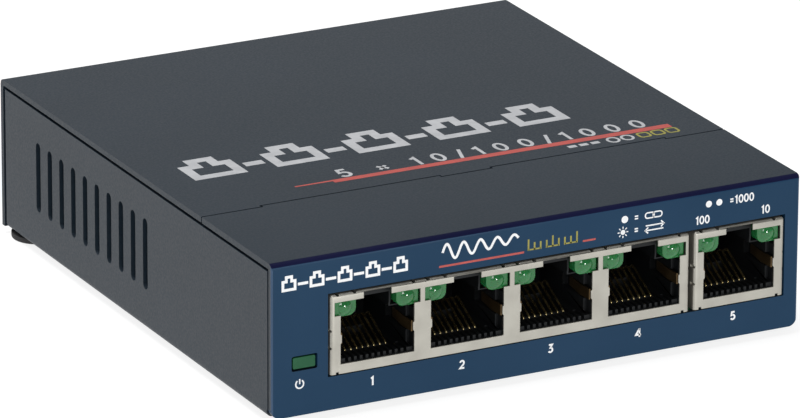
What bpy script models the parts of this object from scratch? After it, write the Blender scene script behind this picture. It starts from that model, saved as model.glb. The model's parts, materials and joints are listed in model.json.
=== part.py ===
"""Desktop network switch: a folded-steel case with five network sockets across its front.

Frame: X runs to the right seen from the front, Y runs to the back, Z runs up. The origin is on the
surface that the feet stand on, under the middle of the case. Lengths are in metres.
"""

import math

import bmesh
import bpy
from mathutils import Matrix, Vector

MM = 0.001
GAP = 0.3 * MM  # left between pieces that touch

# The case
CASE_WIDTH = 94.0 * MM
CASE_DEPTH = 100.4 * MM
CASE_HEIGHT = 25.7 * MM
FOOT_HEIGHT = 1.3 * MM  # how far the feet lift the case
SHEET = 1.0 * MM
BEND_RADIUS = 1.0 * MM
PROUD = 0.3 * MM  # sockets stand out from the sheet by this much, front and back

RIGHT = CASE_WIDTH / 2
BACK = CASE_DEPTH / 2
FRONT = -BACK
BASE = FOOT_HEIGHT
TOP = BASE + CASE_HEIGHT

# Seam between the strip folded back from the front panel and the cover
STRIP_DEPTH = 25.05 * MM
SEAM = FRONT + STRIP_DEPTH
SEAM_STEP = 0.6 * MM
MIDDLE_TONGUE_HALF_WIDTH = 4.7 * MM
SIDE_TONGUE_INNER = 36.2 * MM
TONGUE_LENGTH = 5.5 * MM

# Air slots in the side walls
SLOT_COUNT = 10
SLOT_PITCH = 4.51 * MM
SLOT_WIDTH = 1.7 * MM
SLOT_HEIGHT = 12.0 * MM
FIRST_SLOT = FRONT + 45.2 * MM
SLOT_MIDDLE = BASE + 12.8 * MM
WALL_TOP = TOP - SHEET - 0.5 * MM
WALL_BACK = BACK - SHEET - 0.8 * MM
WALL_SLIT = 0.4 * MM  # between the side walls and the front panel
RELIEF_EXTRA = 0.3 * MM
CORNER_ROUNDING = 1.6 * MM
CORNER_STEPS = 6

# Network sockets: four in one gang and one on its own
PORT_PITCH = 15.8 * MM
FIRST_PORT = -28.68 * MM
GANG_PORTS = [FIRST_PORT + PORT_PITCH * number for number in range(4)]
SINGLE_PORTS = [35.95 * MM]
SHIELD_SIDE = 8.2 * MM  # from the middle of an end port to the shield's side
SHIELD_FRONT = FRONT - PROUD
SHIELD_DEPTH = 21.2 * MM
SHIELD_BOTTOM = BASE + 5.85 * MM
SHIELD_TOP = BASE + 19.05 * MM
SHIELD_SHEET = 0.3 * MM
SHIELD_BEND = 0.4 * MM
MOUTH_HALF_WIDTH = 6.45 * MM
MOUTH_BOTTOM = BASE + 7.42 * MM
SHOULDER = BASE + 15.5 * MM
LIGHT_HALF_WIDTH = 7.5 * MM
LIGHT_TOP = BASE + 17.75 * MM
NOTCH_HALF_WIDTH = 2.43 * MM
NOTCH_TOP = BASE + 18.8 * MM
CUTOUT_SIDE_GAP = 0.3 * MM
CUTOUT_BOTTOM = BASE + 5.55 * MM
CUTOUT_TOP = BASE + 19.35 * MM

# Inside a socket
PLUG_HALF_WIDTH = 5.95 * MM
PLUG_DEPTH = 16.0 * MM
PLUG_FLOOR = BASE + 8.1 * MM
PLUG_CEILING = BASE + 14.9 * MM
WELL_HALF_WIDTH = 4.4 * MM
WELL_FLOOR = BASE + 6.6 * MM
WELL_FRONT = FRONT + 3.0 * MM
WELL_BACK = FRONT + 12.5 * MM
LATCH_HALF_WIDTH = 2.9 * MM
LATCH_TOP = BASE + 17.4 * MM
HOUSING_BACK_SPACE = 1.6 * MM

# Spring contacts
WIRES = 8
WIRE_PITCH = 1.02 * MM
WIRE_RADIUS = 0.2 * MM
WIRE_HINGE_Y = FRONT + 4.2 * MM
WIRE_HINGE_Z = BASE + 7.6 * MM
WIRE_SLOPE = math.radians(30)
WIRE_LENGTH = 6.6 * MM
WIRE_BAR_RADIUS = 0.42 * MM

# Link lights in the upper corners of each socket
LIGHT_INNER = 3.5 * MM
LIGHT_OUTER = 7.4 * MM
LIGHT_BOTTOM = BASE + 15.4 * MM
LIGHT_HEIGHT = 2.5 * MM
LIGHT_RECESS = 1.15 * MM
LIGHT_LENGTH = 5.0 * MM
LIGHT_LEAD = 0.4 * MM

# Power light
PIPE_LEFT = -43.2 * MM
PIPE_RIGHT = -39.3 * MM
PIPE_BOTTOM = BASE + 7.75 * MM
PIPE_TOP = BASE + 9.65 * MM
PIPE_BACK = FRONT + 6.5 * MM
PIPE_RECESS = 0.5 * MM

# Circuit board
BOARD_BOTTOM = BASE + 3.9 * MM
BOARD_THICKNESS = 1.6 * MM
BOARD_TOP = BOARD_BOTTOM + BOARD_THICKNESS
BOARD_HALF_WIDTH = 44.6 * MM
BOARD_FRONT = FRONT + 2.6 * MM
BOARD_BACK = BACK - 4.0 * MM
POSTS = [(x * MM, y * MM) for y in (-7.0, 41.5) for x in (-41.0, 41.0)]
SCREW_RADIUS = 1.2 * MM
SCREW_HOLE_RADIUS = 1.6 * MM
SCREW_HEAD_RADIUS = 2.6 * MM
SCREW_HEAD_HEIGHT = 1.7 * MM
CROSS_LENGTH = 2.6 * MM
CROSS_WIDTH = 0.6 * MM
CROSS_DEPTH = 0.8 * MM
POST_RADIUS = 2.8 * MM
POST_SHANK_RADIUS = 1.9 * MM

# What stands on the board: places are (X, Y), sizes are (X, Y, Z)
CHIP_PLACE = (-2.0 * MM, 6.0 * MM)
CHIP_SIZE = (20.0 * MM, 20.0 * MM, 1.4 * MM)
SINK_SIDE = 22.0 * MM
SINK_HEIGHT = 8.5 * MM
SINK_PLATE = 2.0 * MM
FINS = 6
FIN_THICKNESS = 1.2 * MM
TRANSFORMER_Y = SHIELD_FRONT + SHIELD_DEPTH + 10.0 * MM
TRANSFORMER_SIZE = (10.0 * MM, 15.0 * MM, 5.7 * MM)
CAPACITORS = [(20.0 * MM, 40.0 * MM), (12.0 * MM, 40.0 * MM), (16.0 * MM, 30.0 * MM)]
CAPACITOR_RADIUS = 3.15 * MM
CAPACITOR_HEIGHT = 8.0 * MM
CAPACITOR_ROUNDING = 0.4 * MM
INDUCTORS = [(2.0 * MM, 38.0 * MM), (-7.0 * MM, 38.0 * MM)]
INDUCTOR_SIZE = (7.0 * MM, 7.0 * MM, 4.0 * MM)
INDUCTOR_ROUNDING = 1.5 * MM
CRYSTAL_PLACE = (-24.0 * MM, 6.0 * MM)
CRYSTAL_SIZE = (4.7 * MM, 11.2 * MM, 3.5 * MM)
CRYSTAL_ROUNDING = 2.2 * MM
MEMORY_PLACE = (-24.0 * MM, 20.0 * MM)
MEMORY_SIZE = (5.0 * MM, 4.0 * MM, 1.5 * MM)
REGULATOR_PLACE = (-20.0 * MM, 34.0 * MM)
REGULATOR_SIZE = (6.5 * MM, 6.0 * MM, 2.3 * MM)

# Back panel
JACK_X = 33.0 * MM
JACK_WIDTH = 9.0 * MM
JACK_HEIGHT = 11.0 * MM
JACK_LENGTH = 14.2 * MM
JACK_BORE_RADIUS = 3.2 * MM
JACK_BORE_DEPTH = 10.5 * MM
JACK_PIN_RADIUS = 1.0 * MM
JACK_LEAF_WIDTH = 2.0 * MM
JACK_LEAF_THICKNESS = 0.3 * MM
JACK_BOTTOM = BOARD_TOP + GAP
JACK_AXIS = JACK_BOTTOM + 6.5 * MM
LOCK_X = -28.0 * MM
LOCK_WIDTH = 7.0 * MM
LOCK_HEIGHT = 3.0 * MM
BACK_MIDDLE = BASE + 12.8 * MM
COVER_SCREW_X = 42.0 * MM

# Feet
FRONT_FOOT = (40.6 * MM, -41.0 * MM)
BACK_FOOT = (42.5 * MM, 45.7 * MM)
FOOT_RADIUS = 4.5 * MM
FOOT_ROUNDING = 0.3 * MM

parts = None
cutters = None


# ---------------------------------------------------------------- scene and materials

def empty_scene():
    for item in list(bpy.data.objects):
        bpy.data.objects.remove(item)
    for group in list(bpy.data.collections):
        bpy.data.collections.remove(group)


def new_collection(name):
    group = bpy.data.collections.new(name)
    bpy.context.scene.collection.children.link(group)
    return group


def material(name, colour, roughness, metallic=0.0):
    made = bpy.data.materials.new(name)
    made.use_nodes = True
    shader = made.node_tree.nodes["Principled BSDF"]
    shader.inputs["Base Color"].default_value = (*colour, 1.0)
    shader.inputs["Roughness"].default_value = roughness
    shader.inputs["Metallic"].default_value = metallic
    return made


# ---------------------------------------------------------------- shape helpers

def add_box(bm, low, high):
    """Adds a box between two corners."""
    low, high = Vector(low), Vector(high)
    size = high - low
    place = Matrix.Translation((low + high) / 2) @ Matrix.Diagonal((*size, 1.0))
    bmesh.ops.create_cube(bm, size=1.0, matrix=place)


def add_cylinder(bm, start, end, radius, sides=24, end_radius=None):
    """Adds a cylinder, or a cone, from start to end."""
    start, end = Vector(start), Vector(end)
    along = end - start
    turn = along.to_track_quat("Z", "Y").to_matrix().to_4x4()
    bmesh.ops.create_cone(
        bm,
        cap_ends=True,
        segments=sides,
        radius1=radius,
        radius2=radius if end_radius is None else end_radius,
        depth=along.length,
        matrix=Matrix.Translation((start + end) / 2) @ turn,
    )


def round_edges(bm, chosen, radius, segments=3):
    """Rounds the edges for which chosen(middle, direction) is true."""
    edges = []
    for edge in bm.edges:
        first, second = (vertex.co for vertex in edge.verts)
        if chosen((first + second) / 2, (second - first).normalized()):
            edges.append(edge)
    bmesh.ops.bevel(bm, geom=edges, offset=radius, segments=segments, profile=0.5, affect="EDGES")


def finish_mesh(name, bm):
    mesh = bpy.data.meshes.new(name)
    bm.to_mesh(mesh)
    bm.free()
    return mesh


def part(name, bm, look, origin=(0.0, 0.0, 0.0)):
    """Makes a part from a mesh drawn in place, with its own origin where asked."""
    origin = Vector(origin)
    bmesh.ops.translate(bm, verts=bm.verts, vec=-origin)
    made = bpy.data.objects.new(name, finish_mesh(name, bm))
    made.location = origin
    made.data.materials.append(look)
    parts.objects.link(made)
    return made


def copy_of(source, name, offset):
    """A part with the same mesh as another, moved by offset."""
    made = bpy.data.objects.new(name, source.data)
    made.location = source.location + Vector(offset)
    parts.objects.link(made)
    return made


def tool(name, bm):
    """A hidden mesh that cuts or joins another."""
    made = bpy.data.objects.new(name, finish_mesh(name, bm))
    made.hide_render = True
    made.display_type = "WIRE"
    cutters.objects.link(made)
    return made


def boolean(target, other, operation="DIFFERENCE"):
    modifier = target.modifiers.new(other.name, "BOOLEAN")
    modifier.operation = operation
    modifier.solver = "EXACT"
    modifier.object = other


def settle(target):
    """Applies a part's modifiers, so that its mesh can be shared by copies."""
    bpy.context.view_layer.update()
    seen = target.evaluated_get(bpy.context.evaluated_depsgraph_get())
    mesh = bpy.data.meshes.new_from_object(seen)
    target.modifiers.clear()
    target.data = mesh
    return target


def smooth(target, angle=40.0):
    target.data.shade_smooth()
    target.data.set_sharp_from_angle(angle=math.radians(angle))


def add_plate(bm, outline, place, thickness):
    """Adds a flat closed outline, thick along its own Z and centred on it, moved by a matrix."""
    curve = bpy.data.curves.new("outline", "CURVE")
    curve.dimensions = "2D"
    curve.fill_mode = "NONE"
    curve.extrude = thickness / 2
    spline = curve.splines.new("POLY")
    spline.points.add(len(outline) - 1)
    for point, (across, up) in zip(spline.points, outline):
        point.co = (across, up, 0.0, 1.0)
    spline.use_cyclic_u = True
    plate = bpy.data.objects.new("outline", curve)
    bpy.context.scene.collection.objects.link(plate)
    bpy.context.view_layer.update()
    seen = plate.evaluated_get(bpy.context.evaluated_depsgraph_get())
    flat = bmesh.new()
    flat.from_mesh(bpy.data.meshes.new_from_object(seen))
    bmesh.ops.remove_doubles(flat, verts=flat.verts, dist=0.00001)
    bmesh.ops.holes_fill(flat, edges=flat.edges, sides=0)
    bmesh.ops.recalc_face_normals(flat, faces=flat.faces)
    mesh = finish_mesh("outline", flat)
    mesh.transform(place)
    bm.from_mesh(mesh)
    bpy.data.objects.remove(plate)


def facing_front(y):
    """Takes an outline's X and Y to the case's X and Z, at a depth."""
    return Matrix.Translation((0.0, y, 0.0)) @ Matrix.Rotation(math.radians(90), 4, "X")


def facing_side(x):
    """Takes an outline's X and Y to the case's Y and Z, at a place across."""
    turn = Matrix.Rotation(math.radians(90), 4, "Z") @ Matrix.Rotation(math.radians(90), 4, "X")
    return Matrix.Translation((x, 0.0, 0.0)) @ turn


def slot_outline(middle_across, middle_up, width, height, steps=6):
    """An upright slot with round ends."""
    radius = width / 2
    reach = height / 2 - radius
    points = []
    for side, start in ((1, 0.0), (-1, math.pi)):
        for step in range(steps + 1):
            angle = start + math.pi * step / steps
            across = middle_across + radius * math.cos(angle)
            points.append((across, middle_up + side * reach + radius * math.sin(angle)))
    return points


def mirrored_boxes(bm, low, high):
    """Adds a box and the same box on the other side of the case."""
    add_box(bm, low, high)
    add_box(bm, (-high[0], low[1], low[2]), (-low[0], high[1], high[2]))


# ---------------------------------------------------------------- case

def chassis_tray(look):
    """Bottom, side walls, front panel and top strip, folded from one sheet."""
    bm = bmesh.new()
    add_box(bm, (-RIGHT, FRONT, BASE), (RIGHT, WALL_BACK, TOP))
    round_edges(bm, lambda middle, along: abs(along.y) > 0.9 and middle.z < BASE + SHEET, BEND_RADIUS)
    round_edges(
        bm,
        lambda middle, along: abs(along.x) > 0.9
        and abs(middle.x) < 0.1 * MM
        and middle.y < FRONT + 0.1 * MM,
        BEND_RADIUS,
    )
    tray = part("chassis_tray", bm, look)

    inside = bmesh.new()
    add_box(
        inside,
        (-RIGHT + SHEET, FRONT + SHEET, BASE + SHEET),
        (RIGHT - SHEET, BACK + SHEET, TOP - SHEET),
    )
    boolean(tray, tool("tray_inside", inside))

    above = bmesh.new()
    seam_outline = [
        (-2 * RIGHT, BACK * 2),
        (-2 * RIGHT, SEAM - SEAM_STEP),
        (-SIDE_TONGUE_INNER, SEAM - SEAM_STEP),
        (-SIDE_TONGUE_INNER, SEAM),
        (-MIDDLE_TONGUE_HALF_WIDTH, SEAM),
        (-MIDDLE_TONGUE_HALF_WIDTH, SEAM - SEAM_STEP),
        (MIDDLE_TONGUE_HALF_WIDTH, SEAM - SEAM_STEP),
        (MIDDLE_TONGUE_HALF_WIDTH, SEAM),
        (SIDE_TONGUE_INNER, SEAM),
        (SIDE_TONGUE_INNER, SEAM - SEAM_STEP),
        (2 * RIGHT, SEAM - SEAM_STEP),
        (2 * RIGHT, BACK * 2),
    ]
    above_height = 4 * MM
    above_middle = WALL_TOP + above_height / 2
    add_plate(above, seam_outline, Matrix.Translation((0.0, 0.0, above_middle)), above_height)
    boolean(tray, tool("tray_opening_above", above))

    # The side walls stop short of the strip above them and of the front panel.
    slits = bmesh.new()
    slit_back = FRONT + SHEET + WALL_SLIT
    outside = RIGHT + SHEET
    inner_side = RIGHT - 1.1 * SHEET
    mirrored_boxes(slits, (inner_side, FRONT + SHEET, WALL_TOP), (outside, SEAM + SHEET, TOP - SHEET))
    boolean(tray, tool("tray_slits_above_walls", slits))
    ends = bmesh.new()
    mirrored_boxes(
        ends, (inner_side, FRONT + SHEET, BASE + 0.9 * SHEET), (outside, slit_back, WALL_TOP + 0.2 * MM)
    )
    boolean(tray, tool("tray_slits_behind_front", ends))
    reliefs = bmesh.new()
    mirrored_boxes(
        reliefs,
        (RIGHT - SHEET, FRONT + SHEET, BASE - SHEET),
        (outside, slit_back + RELIEF_EXTRA, BASE + 1.2 * SHEET),
    )
    boolean(tray, tool("tray_corner_reliefs", reliefs))

    # The front panel's lower corners are rounded off.
    corners = bmesh.new()
    right_corner = [(RIGHT - CORNER_ROUNDING, BASE - SHEET)]
    for step in range(CORNER_STEPS + 1):
        angle = math.radians(90 * step / CORNER_STEPS - 90)
        across = RIGHT - CORNER_ROUNDING * (1 - math.cos(angle))
        right_corner.append((across, BASE + CORNER_ROUNDING * (1 + math.sin(angle))))
    right_corner += [(outside, BASE + CORNER_ROUNDING), (outside, BASE - SHEET)]
    left_corner = [(-across, up) for across, up in reversed(right_corner)]
    for outline in (right_corner, left_corner):
        add_plate(corners, outline, facing_front(FRONT), 2.4 * SHEET)
    boolean(tray, tool("tray_front_corners", corners))

    openings = bmesh.new()
    add_box(
        openings,
        (GANG_PORTS[0] - SHIELD_SIDE - CUTOUT_SIDE_GAP, FRONT - SHEET, CUTOUT_BOTTOM),
        (SINGLE_PORTS[0] + SHIELD_SIDE + CUTOUT_SIDE_GAP, FRONT + 2 * SHEET, CUTOUT_TOP),
    )
    add_box(
        openings,
        (PIPE_LEFT - GAP, FRONT - SHEET, PIPE_BOTTOM - GAP),
        (PIPE_RIGHT + GAP, FRONT + 2 * SHEET, PIPE_TOP + GAP),
    )
    boolean(tray, tool("tray_front_openings", openings))

    air = bmesh.new()
    for number in range(SLOT_COUNT):
        outline = slot_outline(FIRST_SLOT + SLOT_PITCH * number, SLOT_MIDDLE, SLOT_WIDTH, SLOT_HEIGHT)
        for side in (-1, 1):
            add_plate(air, outline, facing_side(side * (RIGHT - SHEET / 2)), 3 * SHEET)
    boolean(tray, tool("tray_air_slots", air))

    # Tabs folded in at the back of the side walls take the cover's screws.
    tabs = bmesh.new()
    mirrored_boxes(
        tabs,
        (RIGHT - 9 * MM, WALL_BACK - 1.2 * SHEET, BACK_MIDDLE - 4 * MM),
        (RIGHT - SHEET / 2, WALL_BACK - 0.2 * SHEET, BACK_MIDDLE + 4 * MM),
    )
    boolean(tray, tool("tray_tabs", tabs), "UNION")

    holes = bmesh.new()
    for side in (-1, 1):
        x = side * COVER_SCREW_X
        start = (x, WALL_BACK - 3 * SHEET, BACK_MIDDLE)
        add_cylinder(holes, start, (x, BACK, BACK_MIDDLE), SCREW_HOLE_RADIUS, 16)
    for x, y in POSTS:
        radius = POST_SHANK_RADIUS + GAP
        add_cylinder(holes, (x, y, BASE - SHEET), (x, y, BASE + 2 * SHEET), radius, 16)
    boolean(tray, tool("tray_round_holes", holes))


def top_cover(look):
    """Top plate and back panel, folded from one sheet, with tongues that hook under the strip."""
    bm = bmesh.new()
    front_edge = SEAM + GAP
    add_box(bm, (-RIGHT, front_edge, BASE), (RIGHT, BACK, TOP))
    round_edges(
        bm,
        lambda middle, along: abs(along.x) > 0.9 and middle.y > 0.0 and middle.z > TOP - 0.1 * MM,
        BEND_RADIUS,
    )
    cover = part("top_cover", bm, look)

    under = bmesh.new()
    add_box(under, (-2 * RIGHT, FRONT, 0.0), (2 * RIGHT, BACK - SHEET, TOP - SHEET))
    boolean(cover, tool("cover_underneath", under))

    tongues = bmesh.new()
    lip = front_edge - SEAM_STEP
    root = front_edge + 1.5 * SHEET
    tongue_top = TOP - SHEET - GAP
    spans = [
        (-RIGHT + 1.6 * SHEET, -SIDE_TONGUE_INNER - GAP),
        (-MIDDLE_TONGUE_HALF_WIDTH + GAP, MIDDLE_TONGUE_HALF_WIDTH - GAP),
        (SIDE_TONGUE_INNER + GAP, RIGHT - 1.6 * SHEET),
    ]
    profile_step = 0.45 * SHEET
    outline = [
        (lip, TOP),
        (lip, tongue_top),
        (lip - TONGUE_LENGTH, tongue_top),
        (lip - TONGUE_LENGTH, tongue_top - SHEET),
        (root, tongue_top - SHEET),
        (root, TOP - profile_step),
        (front_edge + profile_step, TOP),
    ]
    for left, right in spans:
        add_plate(tongues, outline, facing_side((left + right) / 2), right - left)
    boolean(cover, tool("cover_tongues", tongues), "UNION")
    corners = bmesh.new()
    mirrored_boxes(
        corners,
        (RIGHT - 2 * SHEET, lip, TOP - SHEET),
        (RIGHT, front_edge + SHEET, TOP),
    )
    boolean(cover, tool("cover_front_corners", corners), "UNION")

    openings = bmesh.new()
    jack_side = JACK_WIDTH / 2 + GAP
    add_box(
        openings,
        (JACK_X - jack_side, BACK - 2 * SHEET, JACK_BOTTOM - GAP),
        (JACK_X + jack_side, BACK + SHEET, JACK_BOTTOM + JACK_HEIGHT + GAP),
    )
    lock = slot_outline(0.0, 0.0, LOCK_HEIGHT, LOCK_WIDTH)
    flat = Matrix.Rotation(math.radians(90), 4, "Z")
    lock_place = Matrix.Translation((LOCK_X, 0.0, BACK_MIDDLE)) @ facing_front(BACK - SHEET / 2) @ flat
    add_plate(openings, lock, lock_place, 3 * SHEET)
    sink = 0.6 * SHEET
    for side in (-1, 1):
        x = side * COVER_SCREW_X
        start = (x, BACK - 2 * SHEET, BACK_MIDDLE)
        add_cylinder(openings, start, (x, BACK + SHEET, BACK_MIDDLE), SCREW_HOLE_RADIUS, 24)
    boolean(cover, tool("cover_back_openings", openings))
    sinks = bmesh.new()
    for side in (-1, 1):
        x = side * COVER_SCREW_X
        add_cylinder(
            sinks,
            (x, BACK - sink, BACK_MIDDLE),
            (x, BACK + sink, BACK_MIDDLE),
            SCREW_HOLE_RADIUS,
            24,
            SCREW_HOLE_RADIUS + 2 * sink * 1.2,
        )
    boolean(cover, tool("cover_screw_sinks", sinks))


def rubber_feet(look):
    x, y = FRONT_FOOT
    bm = bmesh.new()
    add_cylinder(bm, (-x, y, 0.0), (-x, y, FOOT_HEIGHT - GAP), FOOT_RADIUS, 32)
    round_edges(bm, lambda middle, along: middle.z < 0.1 * MM, FOOT_ROUNDING, 2)
    first = part("rubber_foot_front_left", bm, look, (-x, y, 0.0))
    smooth(first)
    copy_of(first, "rubber_foot_front_right", (2 * x, 0.0, 0.0))
    back_x, back_y = BACK_FOOT
    copy_of(first, "rubber_foot_back_left", (x - back_x, back_y - y, 0.0))
    copy_of(first, "rubber_foot_back_right", (x + back_x, back_y - y, 0.0))


def cover_screws(look):
    """Countersunk screws through the back panel into the tray's tabs."""
    bm = bmesh.new()
    x = -COVER_SCREW_X
    neck = BACK - 0.6 * SHEET
    head_radius = SCREW_HOLE_RADIUS + 0.6 * SHEET
    add_cylinder(bm, (x, BACK - 6 * MM, BACK_MIDDLE), (x, neck, BACK_MIDDLE), SCREW_RADIUS, 16)
    left = part("cover_screw_left", bm, look, (x, BACK, BACK_MIDDLE))
    head = bmesh.new()
    start = (x, neck - 0.2 * MM, BACK_MIDDLE)
    add_cylinder(head, start, (x, BACK, BACK_MIDDLE), SCREW_RADIUS, 24, head_radius)
    boolean(left, tool("cover_screw_head", head), "UNION")
    add_cross_recess(left, "cover_screw_recess", (x, BACK, BACK_MIDDLE), "Y")
    settle(left)
    smooth(left)
    copy_of(left, "cover_screw_right", (2 * COVER_SCREW_X, 0.0, 0.0))


def add_cross_recess(screw, name, middle, axis):
    """Cuts a cross recess into a screw's head; the head faces along the axis."""
    reach, half_width, depth = CROSS_LENGTH / 2, CROSS_WIDTH / 2, CROSS_DEPTH
    for word, across, up in (("across", reach, half_width), ("upright", half_width, reach)):
        half_size = Vector((across, up, depth) if axis == "Z" else (across, depth, up))
        slot = bmesh.new()
        add_box(slot, Vector(middle) - half_size, Vector(middle) + half_size)
        boolean(screw, tool(f"{name}_{word}", slot))


# ---------------------------------------------------------------- circuit board and what it carries

def circuit_board(look):
    bm = bmesh.new()
    add_box(
        bm,
        (-BOARD_HALF_WIDTH, BOARD_FRONT, BOARD_BOTTOM),
        (BOARD_HALF_WIDTH, BOARD_BACK, BOARD_TOP),
    )
    board = part("circuit_board", bm, look)
    holes = bmesh.new()
    for x, y in POSTS:
        start = (x, y, BOARD_BOTTOM - SHEET)
        add_cylinder(holes, start, (x, y, BOARD_TOP + SHEET), SCREW_HOLE_RADIUS, 16)
    boolean(board, tool("board_holes", holes))


def posts_and_screws(post_look, screw_look):
    """Four pressed-in posts and the screws that hold the board on them."""
    x, y = POSTS[0]
    body = bmesh.new()
    post_bottom = BASE + SHEET + GAP
    post_top = BOARD_BOTTOM - GAP
    add_cylinder(body, (x, y, post_bottom), (x, y, post_top), POST_RADIUS, 6)
    post = part("board_post_1", body, post_look, (x, y, post_bottom))
    shank = bmesh.new()
    add_cylinder(shank, (x, y, BASE), (x, y, post_bottom + 0.5 * MM), POST_SHANK_RADIUS, 16)
    boolean(post, tool("post_shank", shank), "UNION")
    bore = bmesh.new()
    add_cylinder(bore, (x, y, BASE + 0.7 * MM), (x, y, post_top + MM), SCREW_HOLE_RADIUS, 16)
    boolean(post, tool("post_bore", bore))
    settle(post)

    head_bottom = BOARD_TOP + GAP
    thread = bmesh.new()
    add_cylinder(thread, (x, y, BASE + 1.2 * MM), (x, y, head_bottom + 0.5 * MM), SCREW_RADIUS, 12)
    screw = part("board_screw_1", thread, screw_look, (x, y, head_bottom))
    head = bmesh.new()
    head_top = head_bottom + SCREW_HEAD_HEIGHT
    add_cylinder(head, (x, y, head_bottom), (x, y, head_top), SCREW_HEAD_RADIUS, 20)
    round_edges(head, lambda middle, along: middle.z > head_top - 0.1 * MM, 0.6 * MM, 2)
    boolean(screw, tool("board_screw_head", head), "UNION")
    add_cross_recess(screw, "board_screw_recess", (x, y, head_top), "Z")
    settle(screw)
    smooth(screw)
    for number, (other_x, other_y) in enumerate(POSTS[1:], start=2):
        offset = (other_x - x, other_y - y, 0.0)
        copy_of(post, f"board_post_{number}", offset)
        copy_of(screw, f"board_screw_{number}", offset)


def block(name, middle, size, look, rounding=0.0):
    """A box-shaped component that stands on the board, given its middle and its size."""
    bottom = BOARD_TOP + GAP
    bm = bmesh.new()
    x, y = middle
    width, depth, height = size
    add_box(
        bm,
        (x - width / 2, y - depth / 2, bottom),
        (x + width / 2, y + depth / 2, bottom + height),
    )
    if rounding:
        round_edges(bm, lambda middle, along: abs(along.z) > 0.9, rounding, 4)
    return part(name, bm, look, (x, y, bottom))


def switch_chip_and_heatsink(chip_look, sink_look):
    block("switch_chip", CHIP_PLACE, CHIP_SIZE, chip_look)
    sink_bottom = BOARD_TOP + 2 * GAP + CHIP_SIZE[2]
    sink_top = sink_bottom + SINK_HEIGHT
    half = SINK_SIDE / 2
    x, y = CHIP_PLACE
    bm = bmesh.new()
    add_box(bm, (x - half, y - half, sink_bottom), (x + half, y + half, sink_top))
    sink = part("heatsink", bm, sink_look, (x, y, sink_bottom))
    gaps = bmesh.new()
    space = (SINK_SIDE - FINS * FIN_THICKNESS) / (FINS - 1)
    for number in range(FINS - 1):
        left = x - half + FIN_THICKNESS + number * (FIN_THICKNESS + space)
        low = (left, y - half - MM, sink_bottom + SINK_PLATE)
        add_box(gaps, low, (left + space, y + half + MM, sink_top + MM))
    boolean(sink, tool("heatsink_gaps", gaps))


def board_components(plastic_look, can_look, metal_look, ferrite_look):
    for number, x in enumerate(GANG_PORTS + SINGLE_PORTS, start=1):
        block(f"isolation_transformer_{number}", (x, TRANSFORMER_Y), TRANSFORMER_SIZE, plastic_look)
    bottom = BOARD_TOP + GAP
    top = bottom + CAPACITOR_HEIGHT
    for number, (x, y) in enumerate(CAPACITORS, start=1):
        bm = bmesh.new()
        add_cylinder(bm, (x, y, bottom), (x, y, top), CAPACITOR_RADIUS)
        round_edges(bm, lambda middle, along: middle.z > top - 0.1 * MM, CAPACITOR_ROUNDING, 2)
        smooth(part(f"capacitor_{number}", bm, can_look, (x, y, bottom)))
    for number, place in enumerate(INDUCTORS, start=1):
        block(f"inductor_{number}", place, INDUCTOR_SIZE, ferrite_look, INDUCTOR_ROUNDING)
    block("crystal", CRYSTAL_PLACE, CRYSTAL_SIZE, metal_look, CRYSTAL_ROUNDING)
    block("memory_chip", MEMORY_PLACE, MEMORY_SIZE, plastic_look)
    block("voltage_regulator", REGULATOR_PLACE, REGULATOR_SIZE, plastic_look)


# ---------------------------------------------------------------- network sockets

def socket_shield(name, ports, look):
    """Thin tinned sheet round a row of sockets, open below, with one window for each socket."""
    left = ports[0] - SHIELD_SIDE
    right = ports[-1] + SHIELD_SIDE
    back = SHIELD_FRONT + SHIELD_DEPTH
    bm = bmesh.new()
    add_box(bm, (left, SHIELD_FRONT, SHIELD_BOTTOM), (right, back, SHIELD_TOP))
    round_edges(
        bm,
        lambda middle, along: middle.z > SHIELD_TOP - 0.1 * MM or abs(along.z) > 0.9,
        SHIELD_BEND,
        2,
    )
    shield = part(name, bm, look)
    inside = bmesh.new()
    add_box(
        inside,
        (left + SHIELD_SHEET, SHIELD_FRONT + SHIELD_SHEET, SHIELD_BOTTOM - SHEET),
        (right - SHIELD_SHEET, back - SHIELD_SHEET, SHIELD_TOP - SHIELD_SHEET),
    )
    boolean(shield, tool(name + "_inside", inside))
    windows = bmesh.new()
    for x in ports:
        half = [
            (NOTCH_HALF_WIDTH, NOTCH_TOP),
            (NOTCH_HALF_WIDTH, LIGHT_TOP),
            (LIGHT_HALF_WIDTH, LIGHT_TOP),
            (LIGHT_HALF_WIDTH, SHOULDER),
            (MOUTH_HALF_WIDTH, SHOULDER),
            (MOUTH_HALF_WIDTH, MOUTH_BOTTOM),
        ]
        outline = [(x + across, up) for across, up in half]
        outline += [(x - across, up) for across, up in reversed(half)]
        add_plate(windows, outline, facing_front(SHIELD_FRONT), 4 * SHIELD_SHEET)
    boolean(shield, tool(name + "_windows", windows))


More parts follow.
